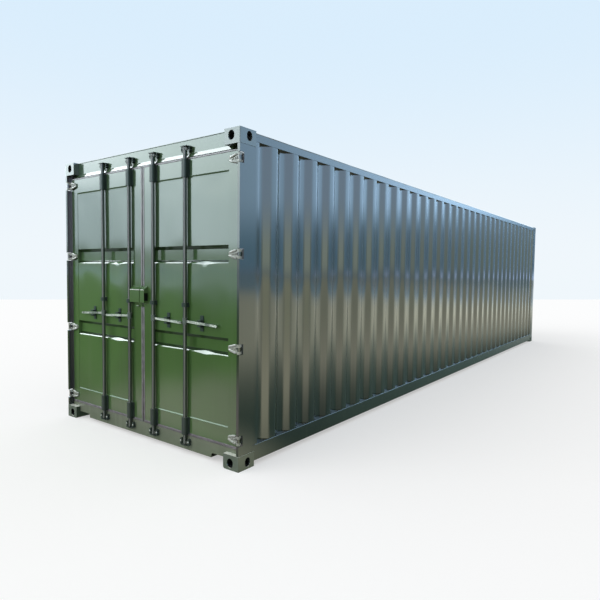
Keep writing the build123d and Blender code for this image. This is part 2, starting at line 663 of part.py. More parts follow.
def handle_catch(x):
    """Plate on the leaf with a lug above the handle and one below it."""
    half = CATCH_WIDTH / 2
    foot_front = door_y(PANEL_FACE - CATCH_FOOT)
    catch = block((x - half, x + half), (foot_front, door_y(PANEL_FACE)),
                  (CATCH_Z - CATCH_HEIGHT / 2, CATCH_Z + CATCH_HEIGHT / 2))
    inner = HANDLE_HEIGHT / 2 + CATCH_GAP
    for low, high in ((-inner - CATCH_LUG, -inner), (inner, inner + CATCH_LUG)):
        catch += block((x - half, x + half), (door_y(CATCH_FRONT), foot_front),
                       (CATCH_Z + low, CATCH_Z + high))
    return catch


def leaf_fittings():
    """Bar guides and handle catches of the right leaf."""
    fittings = []
    for x in (BAR_INNER_X, BAR_OUTER_X):
        low = LEAF_LOW + GUIDE_EDGE
        high = LEAF_HIGH - GUIDE_EDGE
        middle = MIDDLE_GUIDE_HEIGHT / 2
        fittings.append(bar_guide(x, (low, low + GUIDE_HEIGHT), LEAF_FACE, GUIDE_FOOT_WIDTH))
        fittings.append(bar_guide(x, (high - GUIDE_HEIGHT, high), LEAF_FACE, GUIDE_FOOT_WIDTH))
        fittings.append(bar_guide(x, (MIDDLE_GUIDE_Z - middle, MIDDLE_GUIDE_Z + middle), PANEL_FACE,
                                  MIDDLE_GUIDE_FOOT_WIDTH))
        fittings.append(handle_catch(x + CATCH_FROM_BAR))
    return joined(fittings)


def lock_bar(x):
    """Upright bar on the right leaf with a cam near each end."""
    y = door_y(BAR_DEPTH)
    bar = rod(x, y, BAR_RADIUS, (BAR_LOW, BAR_HIGH))
    nose_x = x + CAM_REACH - CAM_NOSE_RADIUS
    for low in (BAR_LOW + CAM_FROM_END, BAR_HIGH - CAM_FROM_END - CAM_HEIGHT):
        z_range = (low, low + CAM_HEIGHT)
        cam = rod(x, y, CAM_RADIUS, z_range) + rod(nose_x, y, CAM_NOSE_RADIUS, z_range)
        cam += block((x, nose_x), (y - CAM_NOSE_RADIUS, y + CAM_NOSE_RADIUS), z_range)
        bar += cam
    return bar


def bar_handle(x):
    """Hub round the bar, with the flat lever that droops on its way to the hinges."""
    y = door_y(BAR_DEPTH)
    hub = rod(x, y, HUB_RADIUS, (HANDLE_Z - HUB_HEIGHT / 2, HANDLE_Z + HUB_HEIGHT / 2))
    half = HANDLE_HEIGHT / 2
    end_x = x + HANDLE_LENGTH - half
    end_z = HANDLE_Z - HANDLE_DROP
    y_range = (y - HANDLE_THICKNESS / 2, y + HANDLE_THICKNESS / 2)
    lever = along([(x, HANDLE_Z - half), (end_x, end_z - half), (end_x, end_z + half),
                   (x, HANDLE_Z + half)], y_range)
    tip = Pos(end_x, y, end_z) * Rot(90, 0, 0) * Cylinder(half, HANDLE_THICKNESS)
    bore = rod(x, y, BAR_RADIUS + HUB_CLEARANCE, (HANDLE_Z - HUB_HEIGHT, HANDLE_Z + HUB_HEIGHT))
    return hub + lever + tip - bore


def bar_keeper(x, seat, front, base, height, side):
    """Keeper round a cam: two cheeks with cut corners, joined by a shelf on the far side of it."""
    inner = CAM_REACH + KEEPER_GAP
    outer = inner + KEEPER_CHEEK
    y_range = (door_y(front), door_y(seat))
    shelf = sorted((base, base - side * KEEPER_SHELF))
    keeper = block((x - inner, x + inner), (door_y(KEEPER_SHELF_FRONT), door_y(seat)), shelf)
    for turn in (-1, 1):
        outline = [(inner, 0), (outer - KEEPER_CUT, 0), (outer, KEEPER_CUT),
                   (outer - KEEPER_CUT, height / 2), (outer, height - KEEPER_CUT),
                   (outer - KEEPER_CUT, height), (inner, height)]
        keeper += along([(x + turn * a, base - side * b) for a, b in outline], y_range)
    return keeper


def bar_keepers():
    """Keepers that take the cams, on the header and on the sill."""
    low_base = BAR_LOW - KEEPER_END_GAP - KEEPER_SHELF
    high_base = BAR_HIGH + KEEPER_END_GAP + KEEPER_SHELF
    keepers = []
    for x in (-BAR_OUTER_X, -BAR_INNER_X, BAR_INNER_X, BAR_OUTER_X):
        keepers.append(bar_keeper(x, SILL_FACE, KEEPER_BOTTOM_FRONT, low_base, KEEPER_BOTTOM_HEIGHT, -1))
        keepers.append(bar_keeper(x, HEADER_FACE, KEEPER_TOP_FRONT, high_base, KEEPER_TOP_HEIGHT, 1))
    return joined(keepers)


def lock_box(x_range, open_side):
    """Half of the padlock box: a hood with an open foot, open towards the other half."""
    back = LEAF_FACE
    high = LOCK_BOX_LOW + LOCK_BOX_FACE_HEIGHT
    outline = [(LOCK_BOX_FRONT, LOCK_BOX_LOW), (LOCK_BOX_FRONT, high),
               (back, high + LOCK_BOX_SLOPE_HEIGHT), (back, LOCK_BOX_LOW)]
    rise = LOCK_BOX_SLOPE_HEIGHT / (back - LOCK_BOX_FRONT)
    drop = LOCK_BOX_WALL * math.hypot(1, rise)
    inner = LOCK_BOX_FRONT + LOCK_BOX_WALL
    bore = [(inner, LOCK_BOX_LOW), (inner, high + rise * LOCK_BOX_WALL - drop),
            (back, high + LOCK_BOX_SLOPE_HEIGHT - drop), (back, LOCK_BOX_LOW)]
    low_x, high_x = x_range
    bore_range = (low_x, high_x - LOCK_BOX_WALL) if open_side < 0 else (low_x + LOCK_BOX_WALL, high_x)
    box = across([(door_y(d), z) for d, z in outline], x_range)
    return box - across([(door_y(d), z) for d, z in bore], bore_range)


def staple():
    """Round bar bent to a staple, on the left leaf just below the padlock box."""
    y = door_y(LOCK_BOX_FRONT + STAPLE_DEPTH)
    z = LOCK_BOX_LOW - STAPLE_DROP
    root_y = door_y(LEAF_FACE)
    parts = Pos(-STAPLE_X, y, z) * Rot(0, 90, 0) * Cylinder(STAPLE_RADIUS, STAPLE_WIDTH)
    for side in (-1, 1):
        x = -STAPLE_X + side * (STAPLE_WIDTH / 2 - STAPLE_RADIUS)
        parts += Pos(x, (y + root_y) / 2, z) * Rot(90, 0, 0) * Cylinder(STAPLE_RADIUS, root_y - y)
    return parts


def write_body():
    """The box itself: frame, walls, roof and floor."""
    write_castings()
    for name, shape in (("door_post", door_post()), ("rear_post", rear_post()),
                        ("top_side_rail", top_side_rail()), ("bottom_side_rail", bottom_side_rail()),
                        ("side_wall", side_wall())):
        write(shape, f"{name}_right")
        write(left_of(shape), f"{name}_left")
    write(rear_wall(), "rear_wall")
    write(rear_header(), "rear_header")
    write(rear_sill(), "rear_sill")
    write(door_header(), "door_header")
    write(door_sill(), "door_sill")
    write(roof_sheet(), "roof")
    write(floor_boards(), "floor_boards")
    write(floor_beams(), "floor_beams")
    write(bar_keepers(), "bar_keepers")


def write_doors():
    """Both leaves with what is fixed to them, and the bars that turn on them."""
    for name, shape in (("door_frame", leaf_frame()), ("door_panel", leaf_panel()),
                        ("door_seal", leaf_seal()), ("door_hinges", leaf_hinges()),
                        ("door_fittings", leaf_fittings())):
        write(shape, f"right_{name}")
        write(left_of(shape), f"left_{name}")
    write(lock_box((LOCK_BOX_GAP / 2, LOCK_BOX_RIGHT), -1), "right_lock_box")
    write(joined([lock_box((-LOCK_BOX_LEFT, -LOCK_BOX_GAP / 2), 1), staple()]), "left_lock_box")
    for name, x in (("inner", BAR_INNER_X), ("outer", BAR_OUTER_X)):
        bar = lock_bar(x)
        handle = bar_handle(x)
        write(bar, f"right_{name}_bar")
        write(handle, f"right_{name}_handle")
        write(left_of(bar), f"left_{name}_bar")
        write(left_of(handle), f"left_{name}_handle")


write_body()
write_doors()
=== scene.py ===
import math

import bmesh
import bpy
import numpy as np
from mathutils import Matrix


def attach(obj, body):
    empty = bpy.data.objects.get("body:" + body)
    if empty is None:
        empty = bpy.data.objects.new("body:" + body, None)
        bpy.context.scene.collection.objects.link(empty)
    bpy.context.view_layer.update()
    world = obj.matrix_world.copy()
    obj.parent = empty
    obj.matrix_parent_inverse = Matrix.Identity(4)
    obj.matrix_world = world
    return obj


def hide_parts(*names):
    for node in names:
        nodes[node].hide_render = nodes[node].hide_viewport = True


# A green shipping container with closed doors, in metres. X runs across the width,
# Y along the length and Z up. The doors close the end that faces -Y.

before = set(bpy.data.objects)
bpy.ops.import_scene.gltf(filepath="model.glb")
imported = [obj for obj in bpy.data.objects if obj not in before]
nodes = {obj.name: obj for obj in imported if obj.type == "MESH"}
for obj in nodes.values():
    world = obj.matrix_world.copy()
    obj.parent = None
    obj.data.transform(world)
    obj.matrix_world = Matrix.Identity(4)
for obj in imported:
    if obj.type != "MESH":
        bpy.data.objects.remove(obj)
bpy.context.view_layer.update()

# Sizes that the added pieces share with the steelwork. X is measured from the middle of the
# container, and a face's or a back's depth from the outer faces of the door end castings.
HALF_LENGTH, HALF_WIDTH, HEIGHT = 4.877, 1.219, 2.591
CASTING_LENGTH, CASTING_HEIGHT, CASTING_IN_X = 0.178, 0.118, 1.057
UNDER_CASTING = HEIGHT - CASTING_HEIGHT
POST_BACK = 0.160
WALL_LOW, WALL_HIGH = 0.164, 2.514
WALL_OUTER_X = 1.213
RIB_DEPTH, RIB_FLAT, RIB_SLOPE, RIB_PITCH, FIRST_RIB = 0.036, 0.078, 0.064, 0.278, 0.366
WALL_INNER_X = WALL_OUTER_X - RIB_DEPTH
LEAF_LOW, LEAF_HIGH = 0.162, 2.432
LEAF_OUTER_X, LEAF_FACE = 1.164, 0.043
PANEL_LEFT, PANEL_RIGHT = 0.134, 1.065
PANEL_LOW, PANEL_HIGH = 0.305, 2.298
PANEL_FACE = 0.045
RECESS_LOWS = (0.867, 1.588)
RECESS_HEIGHT, RECESS_SLOPE, RECESS_DEPTH = 0.142, 0.028, 0.030
HINGE_X, STRAP_FACE = 1.199, 0.031
HINGE_HEIGHTS = (0.236, 0.937, 1.657, 2.370)
INNER_BAR_X, OUTER_BAR_X = 0.172, 0.587
LOWER_GUIDE, UPPER_GUIDE = (0.165, 0.308), (2.286, 2.429)
SHEET = 0.002
SIDES = {"left": -1, "right": 1}


def door_y(depth):
    """Y of a point at `depth` behind the outer faces of the door end castings."""
    return depth - HALF_LENGTH


# Shader maths

class Value:
    """A number that changes over a surface. Arithmetic on it adds Math nodes."""

    def __init__(self, finish, socket):
        self.finish = finish
        self.socket = socket

    def maths(self, operation, *values):
        return self.finish.node("Math", {"operation": operation}, dict(enumerate(values)))

    def __add__(self, other):
        return self.maths("ADD", self, other)

    def __sub__(self, other):
        return self.maths("SUBTRACT", self, other)

    def __rsub__(self, other):
        return self.maths("SUBTRACT", other, self)

    def __mul__(self, other):
        return self.maths("MULTIPLY", self, other)

    def __neg__(self):
        return self * -1.0

    __radd__ = __add__
    __rmul__ = __mul__

    def least(self, other):
        return self.maths("MINIMUM", self, other)

    def most(self, other):
        return self.maths("MAXIMUM", self, other)

    def size(self):
        """The number without its sign."""
        return self.maths("ABSOLUTE", self)

    def ripple(self, length):
        """Triangle wave of this length, from 0 at its ends to 1 in its middle."""
        return self.maths("PINGPONG", self, length / 2) * (2 / length)

    def rise(self, low, high):
        """0 up to `low`, 1 from `high`, and an S curve between them."""
        return self.finish.node("MapRange", {"interpolation_type": "SMOOTHSTEP"},
                                {"Value": self, "From Min": low, "From Max": high})

    def fall(self, low, high):
        """1 up to `low`, 0 from `high`, and an S curve between them."""
        return 1 - self.rise(low, high)


class Finish:
    """The nodes of one material, or of the light all round when the world owns them."""

    def __init__(self, name, owner=None):
        self.material = owner or bpy.data.materials.new(name)
        self.material.use_nodes = True
        self.tree = self.material.node_tree
        self.tree.nodes.clear()

    def node(self, kind, settings=None, inputs=None, output=0):
        """Adds a node: its settings first, then the values or links of its sockets."""
        made = self.tree.nodes.new("ShaderNode" + kind)
        for name, value in (settings or {}).items():
            setattr(made, name, value)
        for key, value in (inputs or {}).items():
            socket = made.inputs[key]
            if isinstance(value, Value):
                self.tree.links.new(value.socket, socket)
            elif socket.type == "RGBA":
                socket.default_value = (*value, 1)
            else:
                socket.default_value = value
        return Value(self, made.outputs[output]) if made.outputs else None

    def spot(self):
        """Place on the surface in the container's metres."""
        return self.node("TexCoord", output="Object")

    def apart(self, vector):
        """X, Y and Z of a vector, as three values."""
        parts = self.node("SeparateXYZ", None, {0: vector}).socket.node
        return [Value(self, socket) for socket in parts.outputs]

    def stretched(self, spot, scale):
        """A place with each axis times its own number."""
        return self.node("Mapping", None, {"Vector": spot, "Scale": scale})

    def noise(self, spot, scale, detail=3.0, roughness=0.55):
        """Soft noise from 0 to 1, with `scale` blotches to the metre."""
        return self.node("TexNoise", None, {"Vector": spot, "Scale": scale, "Detail": detail,
                                            "Roughness": roughness})

    def mix(self, first, second, share):
        """Colour that goes from `first` to `second` with `share`."""
        return self.node("Mix", {"data_type": "RGBA"}, {"Factor": share, 6: first, 7: second},
                         output=2)

    def bump(self, height, distance, strength, normal=None):
        """Normal of a surface raised by `height`, on top of another bump if there is one."""
        inputs = {"Height": height, "Distance": distance, "Strength": strength}
        if normal is not None:
            inputs["Normal"] = normal
        return self.node("Bump", None, inputs)

    def surface(self, **inputs):
        """The closing shader, with its sockets named by words joined with _."""
        named = {key.replace("_", " "): value for key, value in inputs.items()}
        shader = self.node("BsdfPrincipled", None, named)
        self.node("OutputMaterial", None, {"Surface": shader})
        return self.material


# Finishes. Colours are linear red, green and blue.

# What the greens turn to upwards, as chalky fading and painted sky sheen, small pale specks,
# and the painted shade on the open side of the lock box and inside the castings
CHALK_AND_SHEEN = (0.20, 0.235, 0.215)
SPECKS = (0.30, 0.33, 0.30)
LOCK_SIDE_SHADE = (0.006, 0.008, 0.006)
POCKET_SHADE = (0.010, 0.012, 0.012)

# Heights between which the paint of the doors and the walls changes, from the ground up
SPLASHED = (0.05, 0.95)
RUN_DOWN = (0.2, 2.4)
FADED_AND_SHEEN = (1.1, 2.6)
CROWNED = (1.45, 1.80)

# Depths from which a face lies in a recess of the doors, and between which the channels of the
# door posts begin and end
RECESSED = (0.055, 0.070)
CHANNEL_FRONT, CHANNEL_BACK = (0.005, 0.009), (0.137, 0.177)

# The open side of the lock box, where shade is painted: its X, and the depth, height and half the
# sizes of the opening
LOCK_SIDE = (0.05, 0.06)
LOCK_DEPTH, LOCK_DEPTH_HALF = 0.024, 0.030
LOCK_Z, LOCK_Z_HALF = 1.290, 0.040


def shaded(colour, share):
    """A colour with each part times this share."""
    return tuple(share * part for part in colour)


def behind(y, depths):
    """0 in front of the first of two depths, and 1 behind the second."""
    return y.rise(*[door_y(depth) for depth in depths])


def post_channel(x, y, z, nx):
    """1 on the faces inside the channels of the door posts, where light is painted, and less
    towards the ground. The outer faces of the posts and what lies further back are left at 0."""
    facing_in = (x * nx).fall(0.2, 0.8)
    between = (1 - behind(y, CHANNEL_BACK)) * behind(y, CHANNEL_FRONT)
    beside_leaf = x.size().rise(LEAF_OUTER_X + 0.001, LEAF_OUTER_X + 0.006)
    return facing_in * between * beside_leaf * (0.25 + 0.75 * z.rise(0.5, 2.0))


def lock_shade_patch(x, y, z, nx):
    """1 on the open right side of the lock box, inside a thin rim, where shade is painted."""
    from_rim = LOCK_DEPTH_HALF - (y - door_y(LOCK_DEPTH)).size()
    from_rim = from_rim.least(LOCK_Z_HALF - (z - LOCK_Z).size())
    return nx.rise(0.8, 0.95) * x.rise(*LOCK_SIDE) * from_rim.rise(0.004, 0.007)


def casting_pocket(x, y, z):
    """1 on the walls inside the castings' cavities, where shade is painted: the least distance to
    the six outer faces of a casting, once it is more than a few millimetres."""
    high = (z - HEIGHT / 2).size()
    inside = (HALF_WIDTH - x.size()).least(x.size() - CASTING_IN_X)
    inside = inside.least(HALF_LENGTH - y.size())
    inside = inside.least(y.size() - (HALF_LENGTH - CASTING_LENGTH))
    inside = inside.least(HEIGHT / 2 - high).least(high - (HEIGHT / 2 - CASTING_HEIGHT))
    return inside.rise(0.004, 0.010)


def enamel(name, green, top_dust_and_light, fade_and_sheen, dust, streaks, waves, soil=(0.12, 0.13, 0.10), top_dust_and_light_amount=0.5,
           tilt=0.55, coat=1.0, coat_rough=0.08, dry=0.34, crown=None, bar_highlight=None, channel_light=None,
           ribs=None, sunk=0.0, pocket_shade=False, lock_side_shade=False):
    """Gloss enamel on steel. The green grows paler upwards by `fade_and_sheen`, partly as chalky
    fading and partly as painted sky sheen. Low down it carries `dust` and `streaks` in the colour
    `soil`, and faces that look up by more than `tilt` carry the colour `top_dust_and_light`, as
    much as `top_dust_and_light_amount`: partly dust lying on them and partly painted light. `waves`
    is the unevenness of the sheet. `coat` is the gloss, `coat_rough` its blur, and `dry` the
    roughness of what lies under it.

    Some pieces have more: `crown` is the green high up, `bar_highlight` a painted highlight as a
    pale stripe down the front of a round bar, `channel_light` painted light inside the posts beside
    the doors, and
    `ribs` painted light, as from the bright ground in front, low down on the rib slopes that face
    the door end. `sunk` dulls the gloss in the recesses of the doors, which darkens them as shade,
    and paints shade on their steep lower slopes, `pocket_shade` paints shade inside a casting, and
    `lock_side_shade` on the open side of the lock box."""
    f = Finish(name)
    spot = f.spot()
    x, y, z = f.apart(spot)
    nx, ny, nz = f.apart(f.node("TexCoord", output="Normal"))
    broad = f.noise(spot, 0.9, 2.0)
    cloud = f.noise(spot, 5.0, 4.0)
    fine = f.noise(spot, 60.0)
    runs = f.noise(f.stretched(spot, (16.0, 16.0, 0.55)), 1.0, 4.0, 0.6)

    # The paint itself, in two close greens, and how it pales upwards as fading and painted sky
    # sheen
    deep = shaded(green, 0.72)
    pale = tuple(0.55 * chalk + 0.45 * part for chalk, part in zip(CHALK_AND_SHEEN, green))
    colour = f.mix(deep, green, broad.rise(0.35, 0.65))
    if crown:
        colour = f.mix(colour, crown, z.rise(*CROWNED))
    colour = f.mix(colour, pale, z.rise(*FADED_AND_SHEEN) * fade_and_sheen * (0.6 + 0.8 * cloud))

    # Dirt that is splashed up and runs down, and small pale specks
    splashes = z.fall(*SPLASHED) * dust * (0.4 + 1.2 * cloud)
    dirt = (splashes + runs.rise(0.52, 0.78) * streaks * z.fall(*RUN_DOWN)).least(1.0)
    if pocket_shade:
        dirt = dirt * (1 - 0.85 * nx.size().rise(0.5, 0.9))
    colour = f.mix(colour, soil, dirt)
    colour = f.mix(colour, SPECKS, fine.rise(0.70, 0.80) * cloud.rise(0.55, 0.75) * 0.35)

    # Painted shade on faces that look down and on the steep lower slopes of the recesses
    colour = f.mix(colour, shaded(deep, 0.3), 0.85 * (-nz).rise(0.50, 0.72))
    if sunk:
        colour = f.mix(colour, shaded(deep, 0.2), 0.85 * nz.rise(0.60, 0.72))
    # Painted light, as from the bright ground in front, low on the rib slopes facing the door end
    if ribs:
        slope = (-ny).rise(0.20, 0.45) * x.size().rise(WALL_INNER_X - 0.007, WALL_INNER_X - 0.001)
        slope = slope * z.fall(0.5, 1.3) * (0.5 + 0.5 * runs) * (0.4 + 0.6 * z.rise(0.2, 0.8))
        colour = f.mix(colour, ribs, slope)

    # Dust lying on faces that look up, with painted light on the same faces, and a painted
    # highlight down the front of a round bar
    top_dust_and_light_share = (nz.rise(tilt, 0.96) * top_dust_and_light_amount * (0.7 + 0.6 * cloud)).least(1.0)
    colour = f.mix(colour, top_dust_and_light, top_dust_and_light_share)
    # Painted highlight: a pale stripe where the front of a round bar catches the light
    if bar_highlight:
        stripe = (0.50 * nx - 0.866 * ny).rise(0.955, 0.99)
        stripe = stripe * (0.3 + 0.5 * runs + 0.3 * z.rise(1.0, 1.8))
        colour = f.mix(colour, bar_highlight, stripe.least(1.0))

    # The gloss, dulled by dirt, by dust and painted top light, on faces that look down, in the
    # recesses of the doors as shade, and where shade is painted on the lock box and inside the
    # castings
    gloss = coat * (1 - 0.7 * dirt) * (1 - 0.7 * top_dust_and_light_share) * (1 - 0.85 * (-nz).rise(0.5, 0.9))
    if sunk:
        gloss = gloss * (1 - sunk * behind(y, RECESSED))
    # Painted light inside the channels of the door posts, less towards the ground
    if channel_light:
        colour = f.mix(colour, channel_light, post_channel(x, y, z, nx))
    # Painted shade on the open side of the lock box, which loses its gloss there
    if lock_side_shade:
        dark = lock_shade_patch(x, y, z, nx)
        colour = f.mix(colour, LOCK_SIDE_SHADE, dark)
        gloss = gloss * (1 - dark)
    # Painted shade inside the castings, apart from the lit floors of the upper castings' holes
    if pocket_shade:
        inside = casting_pocket(x, y, z)
        lit_floor = nz.rise(0.6, 0.9) * z.rise(1.0, 1.5)
        colour = f.mix(colour, POCKET_SHADE, inside * (1 - 0.9 * lit_floor))
        gloss = gloss * (1 - inside)

    rough = dry + 0.10 * broad.rise(0.4, 0.7) * broad + 0.35 * dirt + 0.04 * fine
    sheet = f.noise(f.stretched(spot, (1.0, 1.0, 0.6)), 2.3, 1.5, 0.4)
    peel = f.noise(spot, 190.0, 1.0)
    normal = f.bump(peel, 0.0002, 0.35, f.bump(sheet, 0.012, waves))
    return f.surface(Base_Color=colour, Roughness=rough, Specular_IOR_Level=0.06,
                     Coat_Weight=gloss, Coat_Roughness=coat_rough, Normal=normal)


def zinc():
    """Hot dip galvanised steel of the handles: patches of crystals, stained and dark in places,
    with painted hubs where the handles hold the bars."""
    f = Finish("galvanised_steel")
    spot = f.spot()
    x = f.apart(spot)[0]
    dull, bright = (0.20, 0.215, 0.18), (0.38, 0.40, 0.345)
    crystals = f.node("TexVoronoi", None, {"Vector": spot, "Scale": 130.0}, output="Color")
    shade = f.node("RGBToBW", None, {0: crystals})
    stain = f.noise(spot, 22.0, 4.0).rise(0.52, 0.74)
    colour = f.mix(dull, bright, (shade * 0.4 + 0.6 * f.noise(spot, 16.0)).rise(0.35, 0.65))
    colour = f.mix(colour, (0.20, 0.20, 0.17), stain * 0.5)
    colour = f.mix(colour, (0.035, 0.050, 0.038), f.noise(spot, 11.0, 2.0).rise(0.53, 0.60) * 0.7)
    from_middle = (x.size() - (INNER_BAR_X + OUTER_BAR_X) / 2).size()
    from_bar = (from_middle - (OUTER_BAR_X - INNER_BAR_X) / 2).size()
    hub = from_bar.fall(0.026, 0.030)
    colour = f.mix(colour, (0.028, 0.040, 0.032), hub)
    return f.surface(Base_Color=colour, Metallic=(0.75 - 0.35 * stain) * (1 - hub),
                     Roughness=0.34 + 0.16 * shade + 0.2 * stain,
                     Normal=f.bump(f.noise(spot, 260.0, 2.0), 0.0004, 0.5))


def rubber():
    """Black door gasket with a purple brown bloom and a little green overspray."""
    f = Finish("seal_rubber")
    spot = f.spot()
    black, bloomed, overspray = (0.080, 0.074, 0.076), (0.135, 0.124, 0.129), (0.05, 0.10, 0.04)
    bloom = f.noise(spot, 14.0, 4.0)
    spray = f.noise(f.stretched(spot, (1.0, 1.0, 0.3)), 9.0).rise(0.58, 0.72)
    colour = f.mix(black, bloomed, bloom.rise(0.4, 0.7))
    colour = f.mix(colour, overspray, spray * 0.35)
    return f.surface(Base_Color=colour, Roughness=0.42 + 0.2 * bloom, Coat_Weight=0.25,
                     Coat_Roughness=0.2, Normal=f.bump(f.noise(spot, 400.0, 2.0), 0.0003, 0.6))


# Size of one floor board, across and along the container
BOARD_WIDTH, BOARD_LENGTH = 1.162, 2.387


def plywood():
    """Sealed plywood boards across the floor, with joints, grain along Y and scuffs."""
    f = Finish("floor_plywood")
    spot = f.spot()
    x, y = f.apart(spot)[:2]
    dark_wood, light_wood = (0.17, 0.095, 0.05), (0.36, 0.235, 0.135)
    grain = f.noise(f.stretched(spot, (38.0, 2.2, 38.0)), 1.0, 6.0, 0.62)
    board = f.noise(f.stretched(spot, (0.86, 0.41, 1.0)), 1.0, 0.0)
    scuff = f.noise(spot, 3.2, 5.0, 0.65).rise(0.5, 0.72)
    colour = f.mix(dark_wood, light_wood, grain.rise(0.3, 0.7) * 0.7 + 0.5 * board)
    colour = f.mix(colour, (0.12, 0.10, 0.08), scuff * 0.55)
    # Both ripples are shifted by 10 m, so that they start outside the container
    joint = (x + 10.0).ripple(BOARD_WIDTH).rise(0.0, 0.006)
    joint = joint.least((y + 10.0).ripple(BOARD_LENGTH).rise(0.0, 0.003))
    colour = f.mix((0.025, 0.02, 0.016), colour, joint)
    return f.surface(Base_Color=colour, Roughness=0.42 + 0.3 * scuff,
                     Normal=f.bump(grain * 0.2 + joint, 0.0015, 0.5))


def underframe():
    """Black wax and dust on the beams under the floor."""
    f = Finish("underframe_paint")
    spot = f.spot()
    wax, dusty = (0.012, 0.013, 0.011), (0.085, 0.075, 0.055)
    dust = f.noise(spot, 4.0, 4.0)
    colour = f.mix(wax, dusty, dust.rise(0.42, 0.8))
    return f.surface(Base_Color=colour, Roughness=0.5 + 0.35 * dust, Coat_Weight=0.2,
                     Normal=f.bump(f.noise(spot, 45.0), 0.002, 0.5))


ENAMELS = {
    # The walls: painted light low down on the rib slopes that face the door end
    "wall_paint": dict(
        green=(0.018, 0.033, 0.018), top_dust_and_light=(0.05, 0.055, 0.05), fade_and_sheen=0.10, dust=0.03,
        streaks=0.06, waves=0.10, ribs=(0.135, 0.128, 0.100)),
    "roof_paint": dict(
        green=(0.022, 0.038, 0.022), top_dust_and_light=(0.10, 0.105, 0.095), fade_and_sheen=0.1, dust=0.0,
        streaks=0.0, waves=0.10, top_dust_and_light_amount=0.8, coat=0.3, coat_rough=0.3, dry=0.5),
    # The doors: painted shade on the steep lower slopes of their recesses, and duller gloss in them
    "door_paint": dict(
        green=(0.060, 0.138, 0.036), top_dust_and_light=(0.16, 0.19, 0.15), fade_and_sheen=0.10, dust=0.28,
        streaks=0.15, waves=0.05, soil=(0.12, 0.15, 0.095), tilt=0.80,
        crown=(0.038, 0.076, 0.034), sunk=0.25),
    "sill_paint": dict(
        green=(0.085, 0.115, 0.070), top_dust_and_light=(0.42, 0.45, 0.39), fade_and_sheen=0.0, dust=0.55,
        streaks=0.2, waves=0.04, soil=(0.22, 0.245, 0.185)),
    # The lock box: painted shade on its open side, and painted light with dust on its top
    "lock_paint": dict(
        green=(0.075, 0.165, 0.048), top_dust_and_light=(0.60, 0.66, 0.58), fade_and_sheen=0.0, dust=0.25,
        streaks=0.1, waves=0.03, soil=(0.12, 0.15, 0.095), top_dust_and_light_amount=0.9, tilt=0.80, lock_side_shade=True),
    # Pale paint that is a painted highlight, on the hinges, the lock box rims and the sill's keeper
    # bolts
    "pale_highlight_paint": dict(
        green=(0.44, 0.47, 0.42), top_dust_and_light=(0.60, 0.62, 0.58), fade_and_sheen=0.6, dust=0.3,
        streaks=0.1, waves=0.03, soil=(0.16, 0.18, 0.14), top_dust_and_light_amount=0.9, coat=0.6, dry=0.4),
    # The door posts: painted light inside their channels
    "frame_paint": dict(
        green=(0.018, 0.034, 0.018), top_dust_and_light=(0.05, 0.055, 0.05), fade_and_sheen=0.1, dust=0.06,
        streaks=0.08, waves=0.06, channel_light=(0.17, 0.175, 0.20)),
    # The castings: pale painted light with dust on their tops, and painted shade inside
    "casting_paint": dict(
        green=(0.040, 0.068, 0.040), top_dust_and_light=(0.75, 0.78, 0.70), fade_and_sheen=0.4, dust=0.5,
        streaks=0.1, waves=0.05, soil=(0.20, 0.23, 0.195), top_dust_and_light_amount=0.9, pocket_shade=True),
    "fitting_paint": dict(
        green=(0.020, 0.036, 0.030), top_dust_and_light=(0.09, 0.10, 0.09), fade_and_sheen=0.05, dust=0.15,
        streaks=0.1, waves=0.03, coat=0.22, coat_rough=0.3, dry=0.5),
    # The bars: a painted highlight down their fronts
    "bar_paint": dict(
        green=(0.028, 0.046, 0.034), top_dust_and_light=(0.10, 0.11, 0.09), fade_and_sheen=0.05, dust=0.2,
        streaks=0.1, waves=0.03, coat=0.35, coat_rough=0.2, dry=0.45,
        bar_highlight=(0.33, 0.325, 0.325)),
}

finishes = {name: enamel(name, **recipe) for name, recipe in ENAMELS.items()}
finishes.update(galvanised_steel=zinc(), seal_rubber=rubber(), floor_plywood=plywood(),
                underframe_paint=underframe())

# Finish of a piece of steelwork, by the first of these words that its name holds
FINISH_WORDS = {
    "casting": "casting_paint", "wall": "wall_paint", "roof": "roof_paint",
    "floor_boards": "floor_plywood", "floor_beams": "underframe_paint", "seal": "seal_rubber",
    "handle": "galvanised_steel", "bar_keepers": "fitting_paint", "fittings": "fitting_paint",
    "_bar": "bar_paint", "door_frame": "door_paint", "door_panel": "door_paint",
    # The hinges are in the pale paint that is a painted highlight
    "hinges": "pale_highlight_paint", "lock_box": "lock_paint", "door_sill": "sill_paint",
    "door_header": "door_paint",
}


def finish_of(name):
    """Name of the finish that a piece of steelwork wears."""
    return next((finish for words, finish in FINISH_WORDS.items() if words in name), "frame_paint")


for name, node in nodes.items():
    for holder in node.material_slots:
        holder.material = finishes[finish_of(name)]


# Surfaces worked out as grids of points

def quads_of(rows, columns):
    """Corner numbers of the quads between the neighbours of a grid whose last column meets its
    first."""
    r, c = np.meshgrid(np.arange(rows - 1), np.arange(columns), indexing="ij")
    after = (c + 1) % columns
    quads = np.stack([r * columns + c, r * columns + after,
                      (r + 1) * columns + after, (r + 1) * columns + c], axis=-1)
    return quads.reshape(-1, 4)


